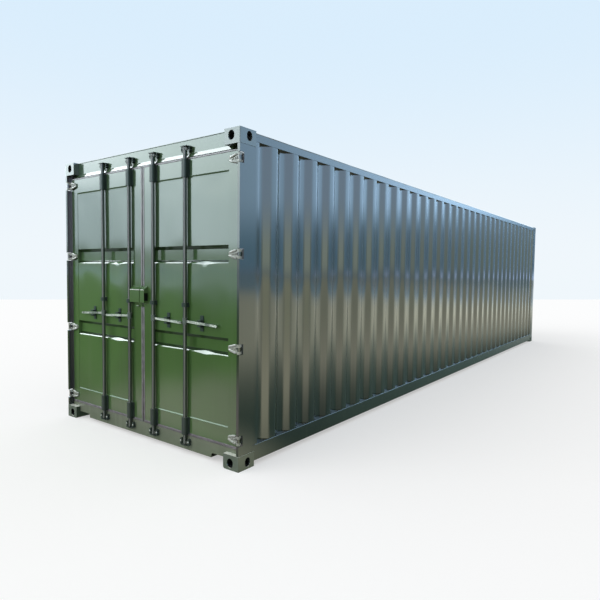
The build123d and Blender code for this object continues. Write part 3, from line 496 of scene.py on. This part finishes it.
def carried(outline, path, upward, scale=None):
    """An outline of (across, up) points carried along a path. Each point lies at the path's own
    point plus across times the direction square to the path and to `upward`, plus up times the
    direction square to both. The ends are drawn together to close them."""
    path = np.asarray(path, float)
    ahead = np.gradient(path, axis=0)
    ahead /= np.linalg.norm(ahead, axis=1, keepdims=True)
    across = np.cross(ahead, upward)
    across /= np.linalg.norm(across, axis=1, keepdims=True)
    up = np.cross(across, ahead)
    size = np.ones(len(path)) if scale is None else np.asarray(scale, float)
    flat = outline[None] * size[:, None, None]
    grid = path[:, None] + flat[..., :1] * across[:, None] + flat[..., 1:] * up[:, None]
    first, last = [np.repeat(grid[i:i + 1].mean(axis=1, keepdims=True), len(outline), axis=1)
                   for i in (0, len(path) - 1)]
    return np.concatenate([first, grid, last])


def turned(profile, centre, steps):
    """A profile of (radius, height) points turned round an axis that points out of the doors:
    each point is centre minus radius times (cos turn, 0, sin turn), and height towards -Y."""
    radius, height = np.asarray(profile, float).T[..., None]
    turn = np.linspace(0, 2 * math.pi, steps, endpoint=False)
    out = np.stack([-radius * np.cos(turn), -height + 0 * turn, -radius * np.sin(turn)], axis=-1)
    return np.asarray(centre, float) + out


def rounded(width, height, power, steps=12):
    """Outline of a rectangle with round corners: half a side times the sign of the cosine times
    its size to a power, and the same with the sine."""
    turn = np.linspace(0, 2 * math.pi, steps, endpoint=False)
    c, s = np.cos(turn), np.sin(turn)
    return np.stack([width / 2 * np.sign(c) * np.abs(c) ** power,
                     height / 2 * np.sign(s) * np.abs(s) ** power], axis=1)


def circle(radius):
    """Outline of a circle in eight steps."""
    return rounded(2 * radius, 2 * radius, 1.0, 8)


# How far the head of a bolt or a rivet reaches into what it sits on
HEAD_SUNK = 0.001


def domed(radius, height):
    """Profile of a rivet head: a sunk foot, then radius times cosine and height times sine of an
    angle that rises to a quarter turn."""
    rise = np.linspace(0, math.pi / 2, 5)
    head = np.stack([radius * np.cos(rise), height * np.sin(rise)], axis=1)
    return np.concatenate([[(0.0, -HEAD_SUNK), (radius, -HEAD_SUNK)], head])


def hexagonal(radius, height):
    """Profile of a bolt head with a small chamfer, to be turned in six steps."""
    return [(0.0, -HEAD_SUNK), (radius, -HEAD_SUNK), (radius, height * 0.75),
            (radius * 0.86, height), (0.0, height)]


def piece(name, grids, finish, body, angle=35.0):
    """Joins closed grids into one mesh, welds their poles, turns the faces outwards, keeps edges
    sharp from this angle, and hands the mesh to a body of the frame."""
    points = np.concatenate([g.reshape(-1, 3) for g in grids])
    starts = np.cumsum([0] + [g.shape[0] * g.shape[1] for g in grids[:-1]])
    quads = np.concatenate([quads_of(*g.shape[:2]) + start for g, start in zip(grids, starts)])
    mesh = bpy.data.meshes.new(name)
    mesh.from_pydata(points, [], quads.tolist())
    work = bmesh.new()
    work.from_mesh(mesh)
    bmesh.ops.remove_doubles(work, verts=work.verts, dist=1e-6)
    bmesh.ops.recalc_face_normals(work, faces=work.faces)
    work.to_mesh(mesh)
    work.free()
    mesh.shade_smooth()
    mesh.set_sharp_from_angle(angle=math.radians(angle))
    mesh.materials.append(finishes[finish])
    made = bpy.data.objects.new(name, mesh)
    bpy.context.scene.collection.objects.link(made)
    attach(made, body)
    return made


# Pressed sheets, with edges that stay sharp from this many degrees

SHEET_ANGLE = 20.0


def sheet_waves(along, up):
    """Unevenness of rolled sheet, from -1.5 to 1.5: a product of two sines with bent arguments, and
    a shorter product of two sines at half its size."""
    long = np.sin(2.1 * along + 1.7 * np.sin(1.3 * up))
    long = long * np.sin(2.9 * up + 0.8 * np.sin(1.9 * along))
    return long + 0.5 * np.sin(5.3 * along + 2.2 * up) * np.sin(6.1 * up - 1.3 * along)


def folded(corners, depths, windows):
    """A folded line with round bends, as places along it, depths and slopes. Near each corner the
    depth is the mean of the sharp line over that corner's window: the difference of the area under
    that line at the two ends of the window, divided by its width. A window of 0 keeps it sharp."""
    corners = np.asarray(corners, float)
    depths = np.asarray(depths, float)
    windows = np.broadcast_to(np.asarray(windows, float), corners.shape)
    along = np.concatenate([[corners[0] - 1], corners, [corners[-1] + 1]])
    deep = np.concatenate([depths[:1], depths, depths[-1:]])
    areas = np.concatenate([[0], np.cumsum(np.diff(along) * (deep[1:] + deep[:-1]) / 2)])

    def area(place):
        i = np.clip(np.searchsorted(along, place, side="right") - 1, 0, len(along) - 2)
        return areas[i] + (place - along[i]) * (deep[i] + np.interp(place, along, deep)) / 2

    shares = np.linspace(-0.5, 0.5, 5)
    places = np.clip(corners[:, None] + windows[:, None] * shares, corners[0], corners[-1])
    places, first = np.unique(places.round(6), return_index=True)
    window = np.maximum(np.repeat(windows, len(shares))[first], 1e-6)
    start, end = places - window / 2, places + window / 2
    depth = (area(end) - area(start)) / window
    slope = (np.interp(end, along, deep) - np.interp(start, along, deep)) / window
    return places, depth, slope


def plate(front, back):
    """Closed sheet between two grids of points: each column runs up the front and down the back,
    and the first and the last column are drawn together half way through the sheet."""
    first = (front[:1] + back[:1]) / 2
    last = (front[-1:] + back[-1:]) / 2
    front = np.concatenate([first, front, last])
    back = np.concatenate([first, back, last])
    return np.concatenate([front, back[:, ::-1]], axis=1)


# Side wall: where the flat beside a post and its slope end, the width of a bend, the rows of
# points up the wall, and the size of the sheet's unevenness
EDGE_FLAT, EDGE_SLOPE = 0.070, 0.086
RIB_BEND = 0.030
WALL_ROWS = 25
WALL_UNEVEN = 0.0009


def wall_sheet(side):
    """Corrugated side wall with round bends. Across the ribs it is a folded line whose depth swings
    between the outer and the inner flats; up the wall it only leans in by the unevenness. Under
    the castings it ends lower, so two columns stand at each step, one of either height."""
    s = SIDES[side]
    span = 2 * (HALF_LENGTH - FIRST_RIB) - RIB_FLAT
    pitches = round(span / RIB_PITCH)
    starts = door_y(FIRST_RIB) + np.arange(pitches + 1) * span / pitches
    ribs = starts[:, None] + np.array([-RIB_SLOPE, 0, RIB_FLAT, RIB_FLAT + RIB_SLOPE])
    rib_x = np.tile([WALL_INNER_X, WALL_OUTER_X, WALL_OUTER_X, WALL_INNER_X], len(starts))
    edge = door_y(POST_BACK) + np.array([0, EDGE_FLAT, EDGE_SLOPE])
    edge_x = np.array([WALL_OUTER_X, WALL_OUTER_X, WALL_INNER_X])
    corners = np.concatenate([edge, ribs.ravel(), -edge[::-1]])
    y, x, slope = folded(corners, np.concatenate([edge_x, rib_x, edge_x[::-1]]), RIB_BEND)
    step = HALF_LENGTH - CASTING_LENGTH
    steps = np.array([-step, -step, step, step])
    at = np.searchsorted(y, steps)
    x = np.insert(x, at, np.interp(steps, y, x))
    y = np.insert(y, at, steps)
    slope = np.insert(slope, at, 0.0)
    high = np.full(len(y), WALL_HIGH)
    high[:np.searchsorted(y, -step) + 1] = UNDER_CASTING
    high[np.searchsorted(y, step) + 1:] = UNDER_CASTING
    share = np.linspace(0, 1, WALL_ROWS)
    z = WALL_LOW + share[None] * (high[:, None] - WALL_LOW)
    lean = WALL_UNEVEN * (1.5 + sheet_waves(y[:, None] * 1.3 + s, z))
    lean = lean * np.sin(math.pi * share)[None] ** 0.5
    front = np.stack([x[:, None] - lean, np.broadcast_to(y[:, None], z.shape), z], axis=-1)
    through = SHEET / np.sqrt(1 + slope ** 2)
    back = front - np.stack([through, -through * slope, 0 * through], axis=-1)[:, None]
    flip = np.array([s, 1, 1])
    made = piece(f"{side}_wall_sheet", [plate(front * flip, back * flip)], "wall_paint", "box",
                 SHEET_ANGLE)
    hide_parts(f"side_wall_{side}")


# Door panel: how far in from its lower and its upper edge a lip is flat and ends, how far the lip
# stands proud, and the width of its bends
LOW_LIP, LOW_LIP_PROUD = (0.003, 0.013), 0.0035
HIGH_LIP, HIGH_LIP_PROUD = (0.004, 0.013), 0.0045
LIP_BEND = 0.005

# Lower slope of a recess: where its flatter part starts and how high that is, the depth gained
# for each metre up the flatter and the steep part, and the height and width of the bulge
FLAT_START, FLAT_HEIGHT = 0.001, 0.008
FLAT_RATE, STEEP_RATE = 0.65, 1.305
BULGE_HEIGHT, BULGE_WIDTH = 0.020, 0.080

# X of the soft dent and of the bulges in each leaf, and the dent's height, size and rise
DENT_X = {"left": 0.40, "right": 0.36}
BULGE_X = {"left": 0.40, "right": 0.80}
DENT_Z, DENT_SIZE, DENT_RISE = 1.36, 0.10, 0.0016

# Size of the panel's unevenness and how far from its edges it is whole, columns and rows of
# points, and the closer rows from below to above each lower slope
PANEL_UNEVEN, PANEL_RIM = 0.0011, 0.10
PANEL_COLUMNS, PANEL_ROWS = 61, 60
SLOPE_FROM, SLOPE_TO, SLOPE_ROWS = -0.010, 0.034, 23


def crushed(up, height):
    """Depth gained up the lower slope of a recess: the flat rate times the way over a flatter part
    of this height about its middle, then the steep rate times the way until the recess is as deep
    as elsewhere."""
    flat = np.clip(FLAT_RATE * (up + height / 2), 0, FLAT_RATE * height)
    return flat + np.clip(STEEP_RATE * (up - height / 2), 0, RECESS_DEPTH - FLAT_RATE * height)


def bell(places, middle, size):
    """1 at the middle, falling off as e to the minus square of the distance over its size."""
    return np.exp(-((places - middle) / size) ** 2)


def well_in(places):
    """1 well inside a row of places, falling in a straight line to 0 at its ends."""
    return np.minimum(1, np.minimum(places - places[0], places[-1] - places) / PANEL_RIM)


def panel_line():
    """Heights up a door panel, with the depth and the slope of its face: a folded line with a lip
    at each edge and two sharp recesses, and more heights between its corners."""
    deep = PANEL_FACE + RECESS_DEPTH
    low_lip, high_lip = PANEL_FACE - LOW_LIP_PROUD, PANEL_FACE - HIGH_LIP_PROUD
    flat_end = FLAT_START + FLAT_HEIGHT
    corners = [PANEL_LOW, PANEL_LOW + LOW_LIP[0], PANEL_LOW + LOW_LIP[1]]
    depths = [low_lip, low_lip, PANEL_FACE]
    windows = [LIP_BEND] * 3
    for low in RECESS_LOWS:
        high = low + RECESS_HEIGHT
        corners += [low + FLAT_START, low + flat_end, low + RECESS_SLOPE, high - RECESS_SLOPE, high]
        depths += [PANEL_FACE, PANEL_FACE + FLAT_RATE * FLAT_HEIGHT, deep, deep, PANEL_FACE]
        windows += [0] * 5
    corners += [PANEL_HIGH - HIGH_LIP[1], PANEL_HIGH - HIGH_LIP[0], PANEL_HIGH]
    depths += [PANEL_FACE, high_lip, high_lip]
    z, depth, slope = folded(corners, depths, windows + [LIP_BEND] * 3)
    fill = [low + np.linspace(SLOPE_FROM, SLOPE_TO, SLOPE_ROWS) for low in RECESS_LOWS]
    fill = np.concatenate([np.linspace(PANEL_LOW, PANEL_HIGH, PANEL_ROWS)] + fill)
    fill = np.setdiff1d(fill.round(6), z)
    order = np.argsort(np.concatenate([z, fill]))
    depth = np.concatenate([depth, np.interp(fill, z, depth)])[order]
    slope = np.concatenate([slope, np.interp(fill, z, slope)])[order]
    return np.concatenate([z, fill])[order], depth, slope


def door_sheet(side):
    """Panel of one leaf: the panel's line up the door, the same from edge to edge apart from the
    unevenness of the sheet, a soft dent, and a bulge where the flatter part of each recess's lower
    slope grows taller."""
    s = SIDES[side]
    z, depth, slope = panel_line()
    x = np.linspace(PANEL_LEFT, PANEL_RIGHT, PANEL_COLUMNS)
    lean = PANEL_UNEVEN * (1.5 + sheet_waves(x[:, None] * 2.6 + 3 * s, z[None] * 1.7))
    lean = lean * (well_in(x)[:, None] * well_in(z)[None])
    dent = bell(x, DENT_X[side], DENT_SIZE)[:, None] * bell(z, DENT_Z, DENT_SIZE)[None]
    lean = lean - DENT_RISE * dent
    swelling = FLAT_HEIGHT + BULGE_HEIGHT * bell(x, BULGE_X[side], BULGE_WIDTH)[:, None]
    for low in RECESS_LOWS:
        up = z[None] - low - (FLAT_START + FLAT_HEIGHT / 2)
        lean = lean + crushed(up, swelling) - crushed(up, FLAT_HEIGHT)
    front = np.stack([np.broadcast_to(x[:, None], lean.shape), door_y(depth)[None] + lean,
                      np.broadcast_to(z[None], lean.shape)], axis=-1)
    through = SHEET / np.sqrt(1 + slope ** 2)
    back = front + np.stack([0 * through, through, -through * slope], axis=-1)[None]
    flip = np.array([s, 1, 1])
    made = piece(f"{side}_door_sheet", [plate(front * flip, back * flip)], "door_paint",
                 f"{side}_door", SHEET_ANGLE)
    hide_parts(f"{side}_door_panel")


# Small pieces on the doors and the rails

# Direction out of the doors
OUT = (0, -1, 0)

# Way of a strap's rolled edge: short of the hinge axis, proud of the strap, off its middle line,
# and the edge's size there. Then the edge's width and height, how far short of the axis the bolts
# sit, and a bolt's radius and height.
RIDGE_WAY = ((0.119, 0.000, 0.0110, 0.5), (0.100, 0.001, 0.0155, 1.0),
             (0.047, 0.002, 0.0285, 1.0), (0.036, 0.003, 0.0295, 0.5))
RIDGE_WIDTH, RIDGE_HEIGHT = 0.019, 0.013
STRAP_BOLTS = (0.081, 0.056)
STRAP_BOLT = (0.0085, 0.006)


def hinge_ridges(side):
    """Rolled edges on each forked strap, from its tip to short of its knuckles, with two bolts
    between them: a rounded outline carried along the upper and the lower edge of the strap. They
    are in the pale paint that stands in for the highlights of the hinges."""
    s = SIDES[side]
    y = door_y(STRAP_FACE)
    sizes = [size for short, proud, off, size in RIDGE_WAY]
    grids = []
    for z in HINGE_HEIGHTS:
        for end in (-1, 1):
            path = [(s * (HINGE_X - short), y - proud, z + end * off)
                    for short, proud, off, size in RIDGE_WAY]
            grids.append(carried(rounded(RIDGE_WIDTH, RIDGE_HEIGHT, 0.8), path, OUT, sizes))
        for short in STRAP_BOLTS:
            grids.append(turned(hexagonal(*STRAP_BOLT), (s * (HINGE_X - short), y, z), 6))
    piece(f"{side}_hinge_ridges", grids, "pale_highlight_paint", f"{side}_door")


# Rubber lips: thickness, and how far their middle lies in front of the leaf. Then place, width
# and heights of those down the seam, which leave out the lock box, and the ends of those along
# the leaf's top and bottom, with the height and the width of each.
LIP_THICK, LIP_PROUD = 0.0034, 0.0013
SEAM_LIP_X, SEAM_LIP_WIDTH = 0.0140, 0.019
SEAM_LIPS = ((0.179, 1.198), (1.390, 2.426))
LEAF_LIP_FROM, LEAF_LIP_TO = 0.0045, LEAF_OUTER_X - 0.004
LEAF_LIPS = ((LEAF_LOW + 0.003, 0.024), (LEAF_HIGH + 0.003, 0.013))


def seal_lips(side):
    """Rubber lips over the gaps round one leaf: a flat rounded strip carried down the middle seam,
    above and below the lock box, and along the top and the bottom of the leaf."""
    s = SIDES[side]
    y = door_y(LEAF_FACE - LIP_PROUD)
    strips = [((SEAM_LIP_X, y, low), (SEAM_LIP_X, y, high), SEAM_LIP_WIDTH)
              for low, high in SEAM_LIPS]
    strips += [((LEAF_LIP_FROM, y, z), (LEAF_LIP_TO, y, z), width) for z, width in LEAF_LIPS]
    flip = np.array([s, 1, 1])
    grids = [carried(rounded(width, LIP_THICK, 0.5), np.linspace(start, end, 6) * flip, OUT)
             for start, end, width in strips]
    piece(f"{side}_seal_lips", grids, "seal_rubber", f"{side}_door")


# Direction upwards
UP = (0, 0, 1)

# X, height and radius of the weld beads along the top and the bottom side rail, the Y of their
# ends, and the rings of points along them
RAIL_BEADS = ((1.2128, 2.5738, 0.0042), (1.2135, WALL_LOW + 0.001, 0.0040))
BEAD_END, BEAD_RINGS = 4.69, 240


def rail_beads(side):
    """Weld beads along the upper edges of the top and the bottom side rail: a small circle carried
    along the rail, its height and size swinging a little with two sines."""
    s = SIDES[side]
    y = np.linspace(-BEAD_END, BEAD_END, BEAD_RINGS)
    size = 1 + 0.18 * np.sin(9.1 * y) * np.sin(4.3 * y)
    grids = []
    for x, z, radius in RAIL_BEADS:
        height = z + 0.0005 * np.sin(6.7 * y + s)
        path = np.stack([np.full(len(y), s * x), y, height], axis=1)
        grids.append(carried(circle(radius), path, UP, size))
    piece(f"{side}_rail_beads", grids, "wall_paint", "box")


# Rims of the lock box, painted pale as a highlight along its top front edge: X of both ends on
# each half, depth, height and radius
LOCK_RIMS = {"left": (-0.141, -0.005), "right": (0.005, 0.065)}
LOCK_RIM_DEPTH, LOCK_RIM_Z, LOCK_RIM_RADIUS = 0.0065, 1.3515, 0.0038


def lock_box_lit_rim(side):
    """Pale rim along the front top edge of one half of the lock box, painted as a highlight: a
    small circle carried from end to end."""
    start, end = [(x, door_y(LOCK_RIM_DEPTH), LOCK_RIM_Z) for x in LOCK_RIMS[side]]
    rim = carried(circle(LOCK_RIM_RADIUS), np.linspace(start, end, 5), UP)
    piece(f"{side}_lock_box_lit_rim", [rim], "pale_highlight_paint", f"{side}_door")


# Bolts of the keepers: how far off the bar they sit, and for the sill and the header the radius
# and height of a head, its depth, its height above the ground and its finish
KEEPER_BOLT_OFF = 0.046
# The bolts on the sill are in the pale paint that is a painted highlight
KEEPER_BOLTS = {"sill": ((0.0095, 0.0065), 0.016, 0.104, "pale_highlight_paint"),
                "header": ((0.0090, 0.0060), 0.028, 2.511, "fitting_paint")}

# Rivets of the bar guides: radius and height of a head, how far off the bar and in from the ends
# of a guide they sit, and how far in front of the leaf
GUIDE_RIVET = (0.0055, 0.0042)
RIVET_OFF, RIVET_IN, RIVET_PROUD = 0.0315, 0.022, 0.0045


def keeper_bolts():
    """Round bolt heads on the cheeks of the keepers at the feet and the heads of the bars."""
    across = [s * x + end * KEEPER_BOLT_OFF for s in SIDES.values()
              for x in (INNER_BAR_X, OUTER_BAR_X) for end in (-1, 1)]
    for where, (head, depth, z, finish) in KEEPER_BOLTS.items():
        grids = [turned(domed(*head), (x, door_y(depth), z), 12) for x in across]
        piece(f"{where}_keeper_bolts", grids, finish, "box")


def guide_rivets(side):
    """Domed rivet heads on the feet of the bar guides, two on each side of the bar."""
    y = door_y(LEAF_FACE - RIVET_PROUD)
    grids = [turned(domed(*GUIDE_RIVET), (SIDES[side] * (x + end * RIVET_OFF), y, z), 10)
             for x in (INNER_BAR_X, OUTER_BAR_X) for low, high in (LOWER_GUIDE, UPPER_GUIDE)
             for z in (low + RIVET_IN, high - RIVET_IN) for end in (-1, 1)]
    piece(f"{side}_guide_rivets", grids, "fitting_paint", f"{side}_door")


for side in SIDES:
    wall_sheet(side)
    door_sheet(side)
    hinge_ridges(side)
    guide_rivets(side)
    seal_lips(side)
    rail_beads(side)
keeper_bolts()
for side in SIDES:
    lock_box_lit_rim(side)


# Camera, at the photograph's viewing angle. Its focal length is in pixels of the picture.

PICTURE = 600
FOCAL = 504.03
SENSOR = 36.0
CAMERA_PLACE = np.array([3.81508, -7.61330, 1.53056])
CAMERA_TURN, CAMERA_DOWN, CAMERA_ROLL = 0.63881, 0.05423, 0.01205


def camera_axes():
    """Right, up and back of the camera."""
    turn, down = CAMERA_TURN, CAMERA_DOWN
    back = np.array([math.sin(turn) * math.cos(down), -math.cos(turn) * math.cos(down),
                     math.sin(down)])
    right = np.array([math.cos(turn), math.sin(turn), 0.0])
    up = np.cross(back, right)
    c, s = math.cos(CAMERA_ROLL), math.sin(CAMERA_ROLL)
    return c * right + s * up, c * up - s * right, back


def camera():
    """The scene's camera, with the picture's middle one pixel low."""
    data = bpy.data.cameras.new("camera")
    data.sensor_width = SENSOR
    data.lens = FOCAL / PICTURE * SENSOR
    data.shift_y = -1 / PICTURE
    data.clip_start, data.clip_end = 0.05, 400.0
    made = bpy.data.objects.new("camera", data)
    rows = np.eye(4)
    rows[:3, 0], rows[:3, 1], rows[:3, 2] = camera_axes()
    rows[:3, 3] = CAMERA_PLACE
    made.matrix_world = Matrix(rows.tolist())
    bpy.context.scene.collection.objects.link(made)
    bpy.context.scene.camera = made


def ground_at(column, row):
    """Point of the floor that is seen at a place in the picture."""
    right, up, back = camera_axes()
    middle = PICTURE / 2
    way = right * (column - middle) / FOCAL - up * (row - middle + 1) / FOCAL - back
    return CAMERA_PLACE - way * CAMERA_PLACE[2] / way[2]


# Floor, ground and light. The gloss of the enamel shows its own ground and sky, this many times
# brighter than their colours.

GLOSS_LIGHT = 12.0

# Columns of the picture between which the floor ends at the horizon, and its other corners
FLOOR_COLUMNS = (-500, 1100)
FLOOR_CORNERS = [(90, -60, 0), (40, -90, 0), (-90, -90, 0), (-90, 0, 0)]

# Half the side of the ground that gloss shows, and its height
GROUND_REACH, GROUND_Z = 150, -0.02


def stage_plane(name, points, finish, unseen_by):
    """Flat face through these points, which these kinds of rays don't meet."""
    mesh = bpy.data.meshes.new(name)
    corners = [tuple(float(v) for v in point) for point in points]
    mesh.from_pydata(corners, [], [tuple(range(len(corners)))])
    finish.material.cycles.emission_sampling = "NONE"
    mesh.materials.append(finish.material)
    made = bpy.data.objects.new(name, mesh)
    bpy.context.scene.collection.objects.link(made)
    for rays in unseen_by:
        setattr(made, "visible_" + rays, False)


def studio_floor():
    """Pale floor that the container stands on, out to just under the picture's horizon. Gloss
    doesn't show it."""
    f = Finish("studio_floor")
    f.surface(Base_Color=(0.56, 0.56, 0.56), Roughness=0.9, Specular_IOR_Level=0.0,
              Emission_Color=(1.0, 1.0, 1.0), Emission_Strength=0.45)
    horizon = [ground_at(column, PICTURE / 2 - 0.5) for column in FLOOR_COLUMNS]
    stage_plane("studio_floor", horizon + FLOOR_CORNERS, f, ("glossy", "diffuse"))


def ground_in_gloss():
    """Ground that only gloss shows: in shade beside the box, lighter and then darker further off,
    and a dim yard in front of the doors."""
    f = Finish("ground_in_gloss")
    x, y = f.apart(f.spot())[:2]
    aside = x.size()
    near_doors = y.fall(-4.9, -3.6)

    # Open ground on both sides: sandy, then bluish, then dark along the length
    light = f.mix((0.185, 0.185, 0.147), (0.064, 0.102, 0.138), (1.4 * y).rise(14.0, 42.0))
    light = f.mix(light, (0.060, 0.070, 0.077), (y - 0.9 * aside).rise(10.0, 24.0))
    light = f.mix(light, (0.035, 0.042, 0.045), (y - 0.9 * aside).rise(30.0, 55.0))
    light = f.mix(light, (0.23, 0.23, 0.17), near_doors)
    shade = f.mix((0.014, 0.022, 0.022), (0.050, 0.052, 0.048), y.rise(0.0, 13.0))
    beside = f.mix(shade, light, (aside + 3.2 * near_doors).rise(1.7, 6.0))

    # The yard in front of the doors, with a dark line at their foot
    ahead = f.mix((0.020, 0.028, 0.012), (0.12, 0.14, 0.165), (0.5 * x - y).rise(7.0, 24.0))
    ahead = f.mix(ahead, (0.105, 0.085, 0.092), x.rise(-2.6, -0.8) * y.rise(-9.0, -6.0))
    ahead = f.mix(ahead, (0.012, 0.017, 0.012), y.rise(-5.40, -5.05))
    ahead = f.mix(ahead, light, y.rise(6.5, 11.0))

    past_right = x.rise(0.9, 1.6)
    past_sides = aside.rise(0.9, 1.6) * y.rise(-5.0, -4.8)
    f.surface(Base_Color=(0.0, 0.0, 0.0), Roughness=1.0, Specular_IOR_Level=0.0,
              Emission_Color=f.mix(ahead, beside, past_right.most(past_sides)),
              Emission_Strength=GLOSS_LIGHT)
    corners = [(i * GROUND_REACH, j * GROUND_REACH, GROUND_Z)
               for i, j in ((-1, -1), (1, -1), (1, 1), (-1, 1))]
    stage_plane("ground_in_gloss", corners, f,
                ("camera", "diffuse", "shadow", "transmission", "volume_scatter"))


def side_sky(f, x, y, z, rightward):
    """Sky that the right side wall shows: brighter straight out from it, darker near the ground,
    and a dark stand of something low and far behind."""
    near = rightward.rise(0.62, 0.88)
    near_low = f.mix((0.25, 0.285, 0.25), (0.12, 0.145, 0.14), y.rise(0.0, 0.30))
    low = f.mix((0.060, 0.118, 0.183), near_low, near)
    high = f.mix((0.175, 0.265, 0.370), (0.215, 0.29, 0.40), near)
    sky = f.mix(low, high, z.rise(0.035, 0.15))
    stand = y.rise(0.70, 0.95) * 0.88 * x.rise(-0.10, 0.06) * z.fall(0.07, 0.14)
    return f.mix(sky, (0.012, 0.018, 0.025), stand)


def front_sky(f, x, z):
    """Sky that the doors show: bands that grow brighter upwards, and darker far to the left."""
    from_left = x.rise(-0.87, -0.74)
    sky = f.mix((0.19, 0.23, 0.26), (0.43, 0.51, 0.55), from_left)
    sky = f.mix(sky, (0.515, 0.60, 0.62), z.rise(0.12, 0.20))
    sky = f.mix(sky, (0.60, 0.70, 0.75), z.rise(0.19, 0.25) * x.rise(-0.80, -0.68))
    sky = f.mix(sky, (0.455, 0.52, 0.55), z.rise(0.13, 0.17) * x.fall(-0.86, -0.80))
    low = f.mix((0.060, 0.068, 0.075), (0.15, 0.17, 0.18), from_left)
    return f.mix(low, sky, z.rise(0.026, 0.056))


def studio_light():
    """Even soft light from all round. Gloss shows a pale sky with one large soft box at the upper
    left, and the backdrop is plain pale blue."""
    world = bpy.data.worlds.new("studio")
    bpy.context.scene.world = world
    f = Finish("studio", world)
    x, y, z = f.apart(f.node("TexCoord", output="Generated"))
    leftward = (-0.75) * x - 0.66 * y
    rightward = 0.98 * x - 0.1 * y

    # What gloss shows
    sky = f.mix(side_sky(f, x, y, z, rightward), front_sky(f, x, z), leftward.rise(0.1, 0.6))
    sky = f.mix(sky, (0.07, 0.11, 0.17), z.rise(0.50, 0.66))
    soft_box = ((-0.80) * x - 0.40 * y + 0.45 * z).rise(0.957, 0.985)
    sky = f.mix(sky, (0.95, 1.02, 1.08), soft_box)
    around = f.mix((0.075, 0.10, 0.15), sky, z.rise(-0.01, 0.01))
    gloss = f.node("Background", None, {"Color": around, "Strength": GLOSS_LIGHT})

    # What lights the container, and what the camera sees behind it
    level = (0.74 + 0.26 * leftward + 0.12 * z) * (0.22 + 0.78 * z.rise(-0.25, 0.1))
    soft = f.node("Background", None, {"Color": (0.97, 0.99, 1.0), "Strength": level})
    light = f.node("MixShader", None, {0: f.node("LightPath", output="Is Glossy Ray"),
                                       1: soft, 2: gloss})
    blue = f.mix((0.87, 0.93, 0.973), (0.70, 0.85, 0.98), z.rise(0.0, 0.45))
    backdrop = f.node("Background", None, {"Color": blue, "Strength": 1.0})
    both = f.node("MixShader", None, {0: f.node("LightPath", output="Is Camera Ray"),
                                      1: light, 2: backdrop})
    f.node("OutputWorld", None, {"Surface": both})


def key_light():
    """Soft key from the front left and above, which gloss doesn't show. It is turned so that it
    shines along its aim."""
    key = bpy.data.lights.new("key", "SUN")
    key.angle = math.radians(50)
    key.energy = 0.9
    key.color = (1.0, 0.98, 0.95)
    made = bpy.data.objects.new("key", key)
    aim = np.array([0.45, 0.75, -0.50])
    pitch = math.pi / 2 + math.atan2(aim[2], math.hypot(aim[0], aim[1]))
    made.rotation_euler = (pitch, 0.0, math.atan2(aim[1], aim[0]) - math.pi / 2)
    made.visible_glossy = False
    bpy.context.scene.collection.objects.link(made)


camera()
studio_floor()
ground_in_gloss()
studio_light()
key_light()
bpy.context.scene.view_settings.view_transform = "Standard"
